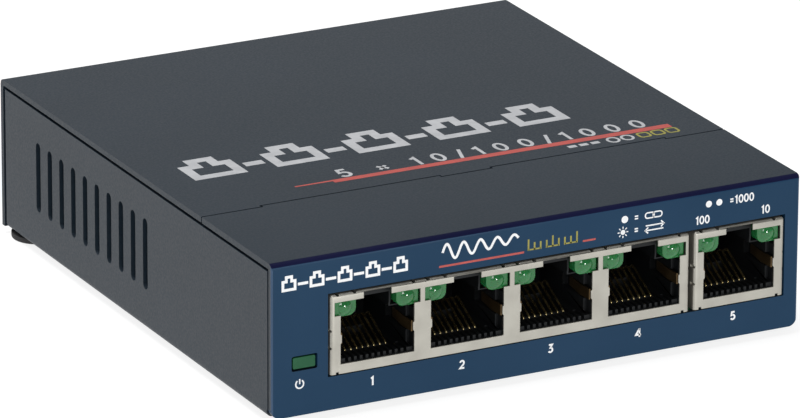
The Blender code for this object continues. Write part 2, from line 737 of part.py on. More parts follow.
def socket_housing(name, ports, look):
    """Moulded block inside a shield: a plug cavity, a latch channel and a contact well for each."""
    wall = SHIELD_SHEET + GAP
    left = ports[0] - SHIELD_SIDE + wall
    right = ports[-1] + SHIELD_SIDE - wall
    front = SHIELD_FRONT + wall
    back = SHIELD_FRONT + SHIELD_DEPTH - HOUSING_BACK_SPACE
    top = SHIELD_TOP - wall
    bm = bmesh.new()
    add_box(bm, (left, front, SHIELD_BOTTOM), (right, back, top))
    housing = part(name, bm, look)

    for number, x in enumerate(ports, start=1):
        cavity = bmesh.new()
        half = [
            (LATCH_HALF_WIDTH, LATCH_TOP),
            (LATCH_HALF_WIDTH, PLUG_CEILING),
            (PLUG_HALF_WIDTH, PLUG_CEILING),
            (PLUG_HALF_WIDTH, PLUG_FLOOR),
        ]
        outline = [(x + across, up) for across, up in half]
        outline += [(x - across, up) for across, up in reversed(half)]
        open_front = front - MM
        depth = PLUG_DEPTH + MM
        add_plate(cavity, outline, facing_front(open_front + depth / 2), depth)
        boolean(housing, tool(f"{name}_cavity_{number}", cavity))
        well = bmesh.new()
        low = (x - WELL_HALF_WIDTH, WELL_FRONT, WELL_FLOOR)
        add_box(well, low, (x + WELL_HALF_WIDTH, WELL_BACK, PLUG_FLOOR + 0.5 * MM))
        boolean(housing, tool(f"{name}_well_{number}", well))

    # The lights sit in pockets that run from one socket's corner to the next one's.
    pockets = bmesh.new()
    pocket_inner = LIGHT_INNER - GAP
    edges = [left - MM]
    for x in ports:
        edges += [x - pocket_inner, x + pocket_inner]
    edges.append(right + MM)
    for start, end in zip(edges[::2], edges[1::2]):
        add_box(pockets, (start, front - MM, LIGHT_BOTTOM - GAP), (end, back + MM, top + MM))
    boolean(housing, tool(name + "_light_pockets", pockets))


def link_lights(look):
    """Two lights for each socket, with leads that run back and down to the board."""
    x = FIRST_PORT + (LIGHT_INNER + LIGHT_OUTER) / 2
    half = (LIGHT_OUTER - LIGHT_INNER) / 2
    front = SHIELD_FRONT + LIGHT_RECESS
    bottom = LIGHT_BOTTOM
    top = bottom + LIGHT_HEIGHT
    bm = bmesh.new()
    add_box(bm, (x - half, front, bottom), (x + half, front + LIGHT_LENGTH, top))
    round_edges(bm, lambda middle, along: abs(along.y) > 0.9 and middle.z < bottom + 0.1 * MM, 0.8 * MM, 3)
    first = part("link_light_1_right", bm, look, (x, front, bottom))
    leads = bmesh.new()
    lead_back = SHIELD_FRONT + SHIELD_DEPTH - SHIELD_SHEET - GAP
    lead_z = (bottom + top) / 2
    for side in (-1, 1):
        lead_x = x + side * 1.0 * MM
        outline = [
            (front + LIGHT_LENGTH - MM, lead_z),
            (lead_back, lead_z),
            (lead_back, BOARD_TOP + GAP),
            (lead_back - LIGHT_LEAD, BOARD_TOP + GAP),
            (lead_back - LIGHT_LEAD, lead_z - LIGHT_LEAD),
            (front + LIGHT_LENGTH - MM, lead_z - LIGHT_LEAD),
        ]
        add_plate(leads, outline, facing_side(lead_x), LIGHT_LEAD)
    boolean(first, tool("light_leads", leads), "UNION")
    settle(first)
    for number, port in enumerate(GANG_PORTS + SINGLE_PORTS, start=1):
        for side, word in ((-1, "left"), (1, "right")):
            if (number, side) == (1, 1):
                continue
            place = port + side * (x - FIRST_PORT)
            copy_of(first, f"link_light_{number}_{word}", (place - x, 0.0, 0.0))


def spring_contacts(look):
    """Eight spring wires per socket, held together at the bend that they flex about."""
    along = Vector((0.0, math.cos(WIRE_SLOPE), math.sin(WIRE_SLOPE)))
    tip = along * WIRE_LENGTH
    tip_bend = Vector((0.0, 1.2 * MM, -0.9 * MM))
    bm = bmesh.new()
    for number in range(WIRES):
        x = (number - (WIRES - 1) / 2) * WIRE_PITCH
        route = [
            Vector((x, 0.0, -0.1 * MM)),
            Vector((x, -0.35 * MM, 0.25 * MM)),
            Vector((x, 0.1 * MM, 0.55 * MM)),
            Vector((x, 0.0, 0.2 * MM)) + tip,
            Vector((x, 0.0, 0.2 * MM)) + tip + tip_bend,
        ]
        add_wire(bm, route, WIRE_RADIUS)
    first = part("contact_springs_1", bm, look)
    hinge = Vector((FIRST_PORT, WIRE_HINGE_Y, WIRE_HINGE_Z))
    bar = bmesh.new()
    reach = WIRE_PITCH * (WIRES / 2 - 0.2)
    add_cylinder(bar, (-reach, 0.0, 0.0), (reach, 0.0, 0.0), WIRE_BAR_RADIUS, 12)
    boolean(first, tool("contact_bar", bar), "UNION")
    settle(first)
    first.location = hinge
    smooth(first)
    for number, port in enumerate((GANG_PORTS + SINGLE_PORTS)[1:], start=2):
        copy_of(first, f"contact_springs_{number}", (port - FIRST_PORT, 0.0, 0.0))


def add_wire(bm, route, radius):
    """Adds a round wire along a route."""
    curve = bpy.data.curves.new("wire", "CURVE")
    curve.dimensions = "3D"
    curve.bevel_depth = radius
    curve.bevel_resolution = 2
    curve.use_fill_caps = True
    spline = curve.splines.new("POLY")
    spline.points.add(len(route) - 1)
    for point, place in zip(spline.points, route):
        point.co = (*place, 1.0)
    wire = bpy.data.objects.new("wire", curve)
    bpy.context.scene.collection.objects.link(wire)
    bpy.context.view_layer.update()
    seen = wire.evaluated_get(bpy.context.evaluated_depsgraph_get())
    bm.from_mesh(bpy.data.meshes.new_from_object(seen))
    bmesh.ops.remove_doubles(bm, verts=bm.verts, dist=0.000001)
    bpy.data.objects.remove(wire)


# ---------------------------------------------------------------- power light and power jack

def power_light(pipe_look, light_look):
    """A small light on the board and the clear bar that carries it to the front."""
    middle = (PIPE_LEFT + PIPE_RIGHT) / 2
    light_top = BOARD_TOP + GAP + 1.0 * MM
    back_front = PIPE_BACK - (PIPE_TOP - PIPE_BOTTOM)
    outline = [
        (FRONT + PIPE_RECESS, PIPE_BOTTOM),
        (FRONT + PIPE_RECESS, PIPE_TOP),
        (PIPE_BACK - 0.8 * MM, PIPE_TOP),
        (PIPE_BACK, PIPE_TOP - 0.8 * MM),
        (PIPE_BACK, light_top + GAP),
        (back_front, light_top + GAP),
        (back_front, PIPE_BOTTOM),
    ]
    bm = bmesh.new()
    add_plate(bm, outline, facing_side(middle), PIPE_RIGHT - PIPE_LEFT)
    part("power_light_pipe", bm, pipe_look)
    place = (middle, (PIPE_BACK + back_front) / 2)
    block("power_light", place, (3.0 * MM, 1.6 * MM, 1.0 * MM), light_look)


def power_jack(plastic_look, metal_look):
    """The barrel power inlet: housing, centre pin and the leaf that presses on the plug's sleeve."""
    face = BACK + PROUD
    bm = bmesh.new()
    half = JACK_WIDTH / 2
    add_box(
        bm,
        (JACK_X - half, face - JACK_LENGTH, JACK_BOTTOM),
        (JACK_X + half, face, JACK_BOTTOM + JACK_HEIGHT),
    )
    housing = part("power_jack_housing", bm, plastic_look)
    bore_end = face - JACK_BORE_DEPTH
    bore = bmesh.new()
    add_cylinder(bore, (JACK_X, bore_end, JACK_AXIS), (JACK_X, face + MM, JACK_AXIS), JACK_BORE_RADIUS, 32)
    boolean(housing, tool("jack_bore", bore))
    pin_hole = bmesh.new()
    start = (JACK_X, face - JACK_LENGTH - MM, JACK_AXIS)
    add_cylinder(pin_hole, start, (JACK_X, bore_end + MM, JACK_AXIS), JACK_PIN_RADIUS + GAP, 16)
    boolean(housing, tool("jack_pin_hole", pin_hole))
    leaf_slot = bmesh.new()
    add_box(
        leaf_slot,
        (JACK_X - 1.4 * MM, bore_end - 1.5 * MM, JACK_BOTTOM - MM),
        (JACK_X + 1.4 * MM, face - 2.0 * MM, JACK_AXIS - 1.5 * MM),
    )
    boolean(housing, tool("jack_leaf_slot", leaf_slot))

    pin = bmesh.new()
    pin_back = face - JACK_LENGTH
    pin_tip = face - 1.2 * MM
    add_cylinder(pin, (JACK_X, pin_back, JACK_AXIS), (JACK_X, pin_tip, JACK_AXIS), JACK_PIN_RADIUS, 16)
    round_edges(pin, lambda middle, along: middle.y > pin_tip - 0.1 * MM, 0.4 * MM, 2)
    smooth(part("power_jack_pin", pin, metal_look))

    leaf = bmesh.new()
    thick = JACK_LEAF_THICKNESS
    hinge_y = bore_end - 0.8 * MM
    hinge_z = JACK_AXIS - 4.3 * MM
    outline = [
        (hinge_y, hinge_z - thick),
        (hinge_y, hinge_z),
        (hinge_y + 5.5 * MM, hinge_z + 1.9 * MM),
        (hinge_y + 7.5 * MM, hinge_z + 1.0 * MM),
        (hinge_y + 7.5 * MM, hinge_z + 1.0 * MM - thick),
        (hinge_y + 5.5 * MM, hinge_z + 1.9 * MM - thick),
        (hinge_y + 0.4 * MM, hinge_z - thick),
    ]
    add_plate(leaf, outline, facing_side(JACK_X), JACK_LEAF_WIDTH)
    part("power_jack_leaf", leaf, metal_look, (JACK_X, hinge_y, hinge_z))


# ---------------------------------------------------------------- the whole switch

def main():
    global parts, cutters
    empty_scene()
    parts = new_collection("network_switch")
    cutters = new_collection("cutters")

    blue_steel = material("blue_painted_steel", (0.045, 0.085, 0.16), 0.45)
    rubber = material("black_rubber", (0.03, 0.03, 0.03), 0.85)
    bright_steel = material("bright_steel", (0.62, 0.62, 0.60), 0.3, 1.0)
    dark_steel = material("dark_screw_steel", (0.08, 0.08, 0.085), 0.4, 1.0)
    board_green = material("board_green", (0.02, 0.16, 0.07), 0.4)
    tinned = material("tinned_sheet", (0.66, 0.64, 0.58), 0.35, 1.0)
    black_plastic = material("black_plastic", (0.02, 0.02, 0.02), 0.5)
    green_lens = material("green_lens", (0.05, 0.42, 0.16), 0.15)
    gold = material("gold_plate", (0.83, 0.62, 0.27), 0.25, 1.0)
    aluminium = material("aluminium", (0.75, 0.76, 0.77), 0.35, 1.0)
    ferrite = material("ferrite", (0.11, 0.11, 0.12), 0.7)
    sleeve = material("capacitor_sleeve", (0.05, 0.07, 0.12), 0.4)

    chassis_tray(blue_steel)
    top_cover(blue_steel)
    rubber_feet(rubber)
    cover_screws(dark_steel)
    circuit_board(board_green)
    posts_and_screws(bright_steel, bright_steel)
    switch_chip_and_heatsink(black_plastic, aluminium)
    board_components(black_plastic, sleeve, bright_steel, ferrite)
    socket_shield("gang_socket_shield", GANG_PORTS, tinned)
    socket_shield("single_socket_shield", SINGLE_PORTS, tinned)
    socket_housing("gang_socket_housing", GANG_PORTS, black_plastic)
    socket_housing("single_socket_housing", SINGLE_PORTS, black_plastic)
    link_lights(green_lens)
    spring_contacts(gold)
    power_light(green_lens, green_lens)
    power_jack(black_plastic, bright_steel)


main()
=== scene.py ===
import json
import math

import bmesh
import bpy
from mathutils import Matrix, Vector


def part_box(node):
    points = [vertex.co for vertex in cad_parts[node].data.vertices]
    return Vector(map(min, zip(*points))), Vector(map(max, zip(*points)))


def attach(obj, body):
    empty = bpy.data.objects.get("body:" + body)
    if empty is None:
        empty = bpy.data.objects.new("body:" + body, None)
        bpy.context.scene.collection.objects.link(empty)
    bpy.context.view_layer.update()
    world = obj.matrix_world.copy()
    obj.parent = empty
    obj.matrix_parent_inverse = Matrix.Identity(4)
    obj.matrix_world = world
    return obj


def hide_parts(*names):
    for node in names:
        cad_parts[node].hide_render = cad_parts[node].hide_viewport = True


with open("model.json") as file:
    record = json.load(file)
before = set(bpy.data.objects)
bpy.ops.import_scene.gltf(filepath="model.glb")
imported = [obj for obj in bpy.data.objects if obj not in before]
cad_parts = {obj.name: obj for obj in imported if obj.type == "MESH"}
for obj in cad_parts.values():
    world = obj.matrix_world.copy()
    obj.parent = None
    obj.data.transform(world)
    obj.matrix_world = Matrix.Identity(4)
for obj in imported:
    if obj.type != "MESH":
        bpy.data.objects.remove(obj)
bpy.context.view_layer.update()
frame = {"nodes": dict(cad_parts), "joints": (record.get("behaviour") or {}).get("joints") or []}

MM = 0.001
NODES = frame["nodes"]


# ---------------------------------------------------------------- sizes: the frame's, and the finish's own

def corners_of(node):
    return tuple(Vector(corner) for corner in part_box(node))


def middle_of(node):
    low, high = corners_of(node)
    return (low + high) / 2


TRAY_LOW, TRAY_HIGH = corners_of("chassis_tray")
COVER_LOW, COVER_HIGH = corners_of("top_cover")
GANG_LOW = corners_of("gang_socket_shield")[0]
SINGLE_HIGH = corners_of("single_socket_shield")[1]
PIPE_LOW, PIPE_HIGH = corners_of("power_light_pipe")
JACK_LOW, JACK_HIGH = corners_of("power_jack_housing")

RIGHT = TRAY_HIGH.x
FRONT = TRAY_LOW.y
BACK = COVER_HIGH.y
BASE = TRAY_LOW.z
TOP = TRAY_HIGH.z
SHEET = 1.0 * MM
BEND = 1.0 * MM
WALL_TOP = TOP - SHEET - 0.5 * MM
WALL_BACK = TRAY_HIGH.y
WALL_SLIT = 0.4 * MM  # between the side walls and the front panel
RELIEF_EXTRA = 0.3 * MM
CORNER = 1.6 * MM
EDGE_ROLL = 0.28 * MM
TRAY_ROUNDING = 0.16 * MM
COVER_ROUNDING = 0.12 * MM
POST_HOLE_RADIUS = 2.2 * MM

PORTS = [middle_of(f"contact_springs_{number}").x for number in range(1, 6)]
GANG_PORTS, SINGLE_PORTS = PORTS[:4], PORTS[4:]

# The seam across the top, between the front strip and the cover
SEAM = FRONT + 25.05 * MM
SEAM_GAP = 0.3 * MM
SEAM_STEP = 0.6 * MM
MIDDLE_TONGUE = 4.7 * MM
SIDE_TONGUE = 36.2 * MM

# Air slots
SLOT_COUNT = 10
SLOT_PITCH = 4.51 * MM
SLOT_WIDTH = 1.7 * MM
SLOT_HEIGHT = 12.0 * MM
FIRST_SLOT = FRONT + 45.2 * MM
SLOT_MIDDLE = BASE + 12.8 * MM

# Back panel
BACK_MIDDLE = BASE + 12.8 * MM
COVER_SCREW_X = middle_of("cover_screw_right").x
COVER_HOLE_RADIUS = 1.6 * MM
COVER_TAB_WIDTH = 9.0 * MM
COVER_TAB_HALF_HEIGHT = 4.0 * MM
SINK_DEPTH = 0.6 * SHEET
SCREW_RADIUS = 1.2 * MM
CROSS_LENGTH = 2.5 * MM
CROSS_WIDTH = 0.55 * MM
CROSS_MIDDLE = 1.2 * MM
CROSS_DEPTH = 0.7 * MM
LOCK_X = -28.0 * MM
LOCK_WIDTH = 7.0 * MM
LOCK_HEIGHT = 3.0 * MM

# Feet
FOOT_ROUNDING = 0.35 * MM
FOOT_RECESS_DEPTH = 0.25 * MM

# Power light's window
WINDOW_BOTTOM = PIPE_HIGH.z - 2.2 * MM
WINDOW_TOP = PIPE_HIGH.z + 0.3 * MM
PIPE_HEIGHT = 1.9 * MM
PIPE_RECESS = 0.15 * MM

# Sockets
SHIELD_FRONT = GANG_LOW.y
SHIELD_SHEET = 0.3 * MM
MOUTH_HALF = 6.45 * MM
MOUTH_BOTTOM = BASE + 7.42 * MM
SHOULDER = BASE + 15.5 * MM
LIGHT_HALF = 7.5 * MM
LIGHT_TOP = BASE + 17.75 * MM
NOTCH_HALF = 2.43 * MM
NOTCH_TOP = BASE + 18.8 * MM
PLUG_HALF = 5.95 * MM
PLUG_DEPTH = 16.0 * MM
PLUG_FLOOR = BASE + 8.1 * MM
PLUG_CEILING = BASE + 14.9 * MM
LATCH_HALF = 2.9 * MM
LATCH_TOP = BASE + 17.4 * MM
WELL_HALF = 4.4 * MM
WELL_BOTTOM = BASE + 6.6 * MM
WELL_FRONT = FRONT + 3.0 * MM
WELL_BACK = FRONT + 12.5 * MM
RIM_DEPTH = 1.4 * MM
FINGER_BOTTOM = BASE + 10.7 * MM
FINGER_TOP = BASE + 12.5 * MM
FINGER_DEPTH = 7.7 * MM
TAB_REACH = 0.22 * MM
BELLY_REACH = 0.55 * MM
BELLY_BACK = 2.8 * MM
SPRING_SHEET = 0.25 * MM
TOP_NOTCHES = (-6.9 * MM, -3.9 * MM, 6.4 * MM)
TOP_NOTCH_RADIUS = 0.34 * MM
TOP_NOTCH_DEPTH = 2.5 * MM
SIDE_NOTCHES = (BASE + 13.1 * MM, BASE + 10.2 * MM)
SIDE_NOTCH_RADIUS = 0.24 * MM

# Spring contacts
WIRE_PITCH = 1.02 * MM
WIRE_COUNT = 8
WIRE_RADIUS = 0.19 * MM
WIRE_BEND = 0.45 * MM
WIRE_SLOPE = math.radians(30)
WIRE_REACH = 6.6 * MM
BAR_RADIUS = 0.42 * MM
COMB_SLOTS = 11
COMB_WIDTH = 0.52 * WIRE_PITCH
COMB_BACK = FRONT + 3.2 * MM

# Link lights
LIGHT_BOTTOM = BASE + 15.1 * MM
LIGHT_LENGTH = 5.0 * MM
POCKET_INNER = 3.2 * MM
POCKET_BOTTOM = BASE + 15.1 * MM
STEP_BOTTOM = BASE + 14.5 * MM
STEP_DEPTH = 1.3 * MM
EDGE_ROUND = 0.22 * MM
FACE_SETBACK = 0.42 * MM
LENS_RADIUS = 2.0 * MM
LEAD_RADIUS = 0.2 * MM
LEAD_SPREAD = 1.0 * MM
LEAD_BEND = 0.8 * MM

# The panel's openings
CUTOUT_SIDE = 0.3 * MM
CUTOUT_BOTTOM = BASE + 5.55 * MM
CUTOUT_TOP = BASE + 19.35 * MM


# ---------------------------------------------------------------- mesh helpers

def add_box(bm, low, high):
    low, high = Vector(low), Vector(high)
    place = Matrix.Translation((low + high) / 2) @ Matrix.Diagonal((*(high - low), 1.0))
    bmesh.ops.create_cube(bm, size=1.0, matrix=place)


def add_cylinder(bm, start, end, radius, sides=32, end_radius=None):
    start, end = Vector(start), Vector(end)
    along = end - start
    turn = along.to_track_quat("Z", "Y").to_matrix().to_4x4()
    bmesh.ops.create_cone(
        bm,
        cap_ends=True,
        segments=sides,
        radius1=radius,
        radius2=radius if end_radius is None else end_radius,
        depth=along.length,
        matrix=Matrix.Translation((start + end) / 2) @ turn,
    )


def add_prism(bm, outline, place, thickness):
    """A closed outline, made thick along its own Z about its plane and moved by a matrix."""
    base = [bm.verts.new(place @ Vector((x, y, -thickness / 2))) for x, y in outline]
    face = bm.faces.new(base)
    grown = bmesh.ops.extrude_face_region(bm, geom=[face])["geom"]
    raised = [item for item in grown if isinstance(item, bmesh.types.BMVert)]
    shift = place.to_3x3() @ Vector((0.0, 0.0, thickness))
    bmesh.ops.translate(bm, verts=raised, vec=shift)
    bmesh.ops.recalc_face_normals(bm, faces=bm.faces)


def round_edges(bm, chosen, radius, segments=6):
    edges = []
    for edge in bm.edges:
        first, second = (vertex.co for vertex in edge.verts)
        if chosen((first + second) / 2, (second - first).normalized()):
            edges.append(edge)
    bmesh.ops.bevel(bm, geom=edges, offset=radius, segments=segments, profile=0.5, affect="EDGES")


def mesh_from(bm, name):
    mesh = bpy.data.meshes.new(name)
    bm.to_mesh(mesh)
    bm.free()
    return mesh


def piece(name, bm, look):
    made = bpy.data.objects.new(name, mesh_from(bm, name))
    made.data.materials.append(look)
    bpy.context.scene.collection.objects.link(made)
    return made


def evaluated_mesh(obj):
    bpy.context.view_layer.update()
    seen = obj.evaluated_get(bpy.context.evaluated_depsgraph_get())
    return bpy.data.meshes.new_from_object(seen)


def carve(obj, bm, operation="DIFFERENCE"):
    """Cuts a mesh out of a piece, or joins it on, and keeps the result as the piece's own mesh."""
    other = bpy.data.objects.new("carver", mesh_from(bm, "carver"))
    bpy.context.scene.collection.objects.link(other)
    modifier = obj.modifiers.new("carve", "BOOLEAN")
    modifier.operation = operation
    modifier.solver = "EXACT"
    modifier.object = other
    looks = list(obj.data.materials)
    mesh = evaluated_mesh(obj)
    obj.modifiers.clear()
    obj.data = mesh
    mesh.materials.clear()
    for look in looks:
        mesh.materials.append(look)
    bpy.data.objects.remove(other)


def soften(obj, width, segments=2, angle=35.0):
    """Rounds every sharp edge a little and shades the rest smooth."""
    bm = bmesh.new()
    bm.from_mesh(obj.data)
    bmesh.ops.remove_doubles(bm, verts=bm.verts, dist=0.000002)
    bmesh.ops.dissolve_limit(bm, angle_limit=math.radians(0.5), verts=bm.verts, edges=bm.edges)
    bm.to_mesh(obj.data)
    bm.free()
    bevel = obj.modifiers.new("edge_rounding", "BEVEL")
    bevel.width = width
    bevel.segments = segments
    bevel.limit_method = "ANGLE"
    bevel.angle_limit = math.radians(angle)
    bevel.harden_normals = True
    smooth(obj, angle)


def smooth(obj, angle=35.0):
    obj.data.shade_smooth()
    obj.data.set_sharp_from_angle(angle=math.radians(angle))


def add_tube(bm, points, radius, sides=12):
    """A round wire along a list of points, closed at both ends."""
    rings = []
    up = Vector((1.0, 0.0, 0.0))
    for index, point in enumerate(points):
        before = points[max(index - 1, 0)]
        after = points[min(index + 1, len(points) - 1)]
        along = (after - before).normalized()
        across = along.cross(up).normalized()
        ring = []
        for side in range(sides):
            angle = 2 * math.pi * side / sides
            offset = up * math.cos(angle) + across * math.sin(angle)
            ring.append(bm.verts.new(point + offset * radius))
        rings.append(ring)
    for first, second in zip(rings, rings[1:]):
        for side in range(sides):
            other = (side + 1) % sides
            bm.faces.new((first[side], first[other], second[other], second[side]))
    bm.faces.new(list(reversed(rings[0])))
    bm.faces.new(rings[-1])
    bmesh.ops.recalc_face_normals(bm, faces=bm.faces)


def rounded_route(corners, radius, steps=6):
    """Points along straight runs joined by smooth bends, about as tight as an arc of the radius."""
    points = [corners[0]]
    for before, corner, after in zip(corners, corners[1:], corners[2:]):
        back = (before - corner).normalized()
        ahead = (after - corner).normalized()
        half = back.angle(ahead) / 2
        longest = 0.49 * min((before - corner).length, (after - corner).length)
        reach = min(radius / math.tan(half), longest)
        start, end = corner + back * reach, corner + ahead * reach
        for step in range(steps + 1):
            part = step / steps
            points.append(start.lerp(corner, part).lerp(corner.lerp(end, part), part))
    points.append(corners[-1])
    return points


def arc(middle_x, middle_y, radius_x, radius_y, start, end, steps=18):
    """Points along part of an ellipse, from one angle in degrees to another."""
    points = []
    for step in range(steps + 1):
        angle = math.radians(start + (end - start) * step / steps)
        points.append((middle_x + radius_x * math.cos(angle), middle_y + radius_y * math.sin(angle)))
    return points


def slot_outline(width, height, steps=10):
    """An upright slot with round ends, about its own middle."""
    radius = width / 2
    reach = height / 2 - radius
    upper = arc(0.0, reach, radius, radius, 0, 180, steps)
    return upper + arc(0.0, -reach, radius, radius, 180, 360, steps)


def rounded_outline(left, bottom, right, top, radii, steps):
    """A rectangle with rounded corners; the radii run top right, top left, bottom left, bottom right."""
    points = []
    corners = ((right, top, -1, -1), (left, top, 1, -1), (left, bottom, 1, 1), (right, bottom, -1, 1))
    for number, (x, z, across, up) in enumerate(corners):
        radius = radii[number]
        start = 90 * number
        points += arc(x + across * radius, z + up * radius, radius, radius, start, start + 90, steps)
    return points


def rounded_rectangle(left, bottom, right, top, radius, steps=5):
    return rounded_outline(left, bottom, right, top, (radius,) * 4, steps)


def facing_front(y):
    return Matrix.Translation((0.0, y, 0.0)) @ Matrix.Rotation(math.radians(90), 4, "X")


def facing_side(x):
    turn = Matrix.Rotation(math.radians(90), 4, "Z") @ Matrix.Rotation(math.radians(90), 4, "X")
    return Matrix.Translation((x, 0.0, 0.0)) @ turn


def mirrored_boxes(bm, low, high):
    add_box(bm, low, high)
    add_box(bm, (-high[0], low[1], low[2]), (-low[0], high[1], high[2]))


# ---------------------------------------------------------------- materials

def new_material(name):
    made = bpy.data.materials.new(name)
    made.use_nodes = True
    tree = made.node_tree
    return made, tree, tree.nodes["Principled BSDF"]


def link(tree, out_node, out_name, in_node, in_name):
    tree.links.new(out_node.outputs[out_name], in_node.inputs[in_name])


def noise_from(tree, scale, detail=3.0, stretch=(1.0, 1.0, 1.0), rough=0.5):
    """Noise in the object's own coordinates; scale is in features per metre."""
    place = tree.nodes.new("ShaderNodeTexCoord")
    mapping = tree.nodes.new("ShaderNodeMapping")
    mapping.inputs["Scale"].default_value = stretch
    pattern = tree.nodes.new("ShaderNodeTexNoise")
    pattern.inputs["Scale"].default_value = scale
    pattern.inputs["Detail"].default_value = detail
    pattern.inputs["Roughness"].default_value = rough
    link(tree, place, "Object", mapping, "Vector")
    link(tree, mapping, "Vector", pattern, "Vector")
    return pattern


def colour_between(tree, pattern, first, second, low=0.35, high=0.65):
    ramp = tree.nodes.new("ShaderNodeValToRGB")
    ramp.color_ramp.elements[0].position = low
    ramp.color_ramp.elements[0].color = (*first, 1.0)
    ramp.color_ramp.elements[1].position = high
    ramp.color_ramp.elements[1].color = (*second, 1.0)
    link(tree, pattern, "Fac", ramp, "Fac")
    return ramp


def value_between(tree, pattern, first, second):
    span = tree.nodes.new("ShaderNodeMapRange")
    span.inputs["From Min"].default_value = 0.3
    span.inputs["From Max"].default_value = 0.7
    span.inputs["To Min"].default_value = first
    span.inputs["To Max"].default_value = second
    link(tree, pattern, "Fac", span, "Value")
    return span


def bump_from(tree, shader, pattern, height, previous=None):
    bump = tree.nodes.new("ShaderNodeBump")
    bump.inputs["Strength"].default_value = 1.0
    bump.inputs["Distance"].default_value = height
    link(tree, pattern, "Fac", bump, "Height")
    if previous:
        link(tree, previous, "Normal", bump, "Normal")
    link(tree, bump, "Normal", shader, "Normal")
    return bump


def surface(name, first, second, rough, metallic=0.0, grain=900.0, height=0.004 * MM, blotch=60.0,
            stretch=(1.0, 1.0, 1.0), detail=3.0, **sockets):
    """A surface with slow colour variation, uneven roughness and a fine grain."""
    made, tree, shader = new_material(name)
    slow = noise_from(tree, blotch, 4.0)
    fine = noise_from(tree, grain, detail, stretch)
    link(tree, colour_between(tree, slow, first, second), "Color", shader, "Base Color")
    link(tree, value_between(tree, slow, *rough), "Result", shader, "Roughness")
    shader.inputs["Metallic"].default_value = metallic
    for socket, value in sockets.items():
        shader.inputs[socket.replace("_", " ")].default_value = value
    bump_from(tree, shader, fine, height)
    return made


def powder_coat():
    """Fine-textured slate powder coat: two sizes of orange peel and faint mottling."""
    made, tree, shader = new_material("slate_powder_coat")
    slow = noise_from(tree, 45.0, 3.0)
    speckle = noise_from(tree, 2600.0, 2.0, rough=0.6)
    mottled = colour_between(tree, slow, (0.0078, 0.0165, 0.0270), (0.0092, 0.0185, 0.0300))
    grains = colour_between(tree, speckle, (0.80, 0.80, 0.82), (1.2, 1.2, 1.16), 0.3, 0.7)
    mixed = tree.nodes.new("ShaderNodeMix")
    mixed.data_type = "RGBA"
    mixed.blend_type = "MULTIPLY"
    mixed.inputs["Factor"].default_value = 1.0
    tree.links.new(mottled.outputs["Color"], mixed.inputs["A"])
    tree.links.new(grains.outputs["Color"], mixed.inputs["B"])
    tree.links.new(mixed.outputs["Result"], shader.inputs["Base Color"])
    link(tree, value_between(tree, speckle, 0.42, 0.58), "Result", shader, "Roughness")
    shader.inputs["Specular IOR Level"].default_value = 0.40
    peel = noise_from(tree, 1500.0, 2.0)
    coarse = bump_from(tree, shader, peel, 0.010 * MM)
    bump_from(tree, shader, noise_from(tree, 4200.0, 2.0), 0.004 * MM, coarse)
    return made


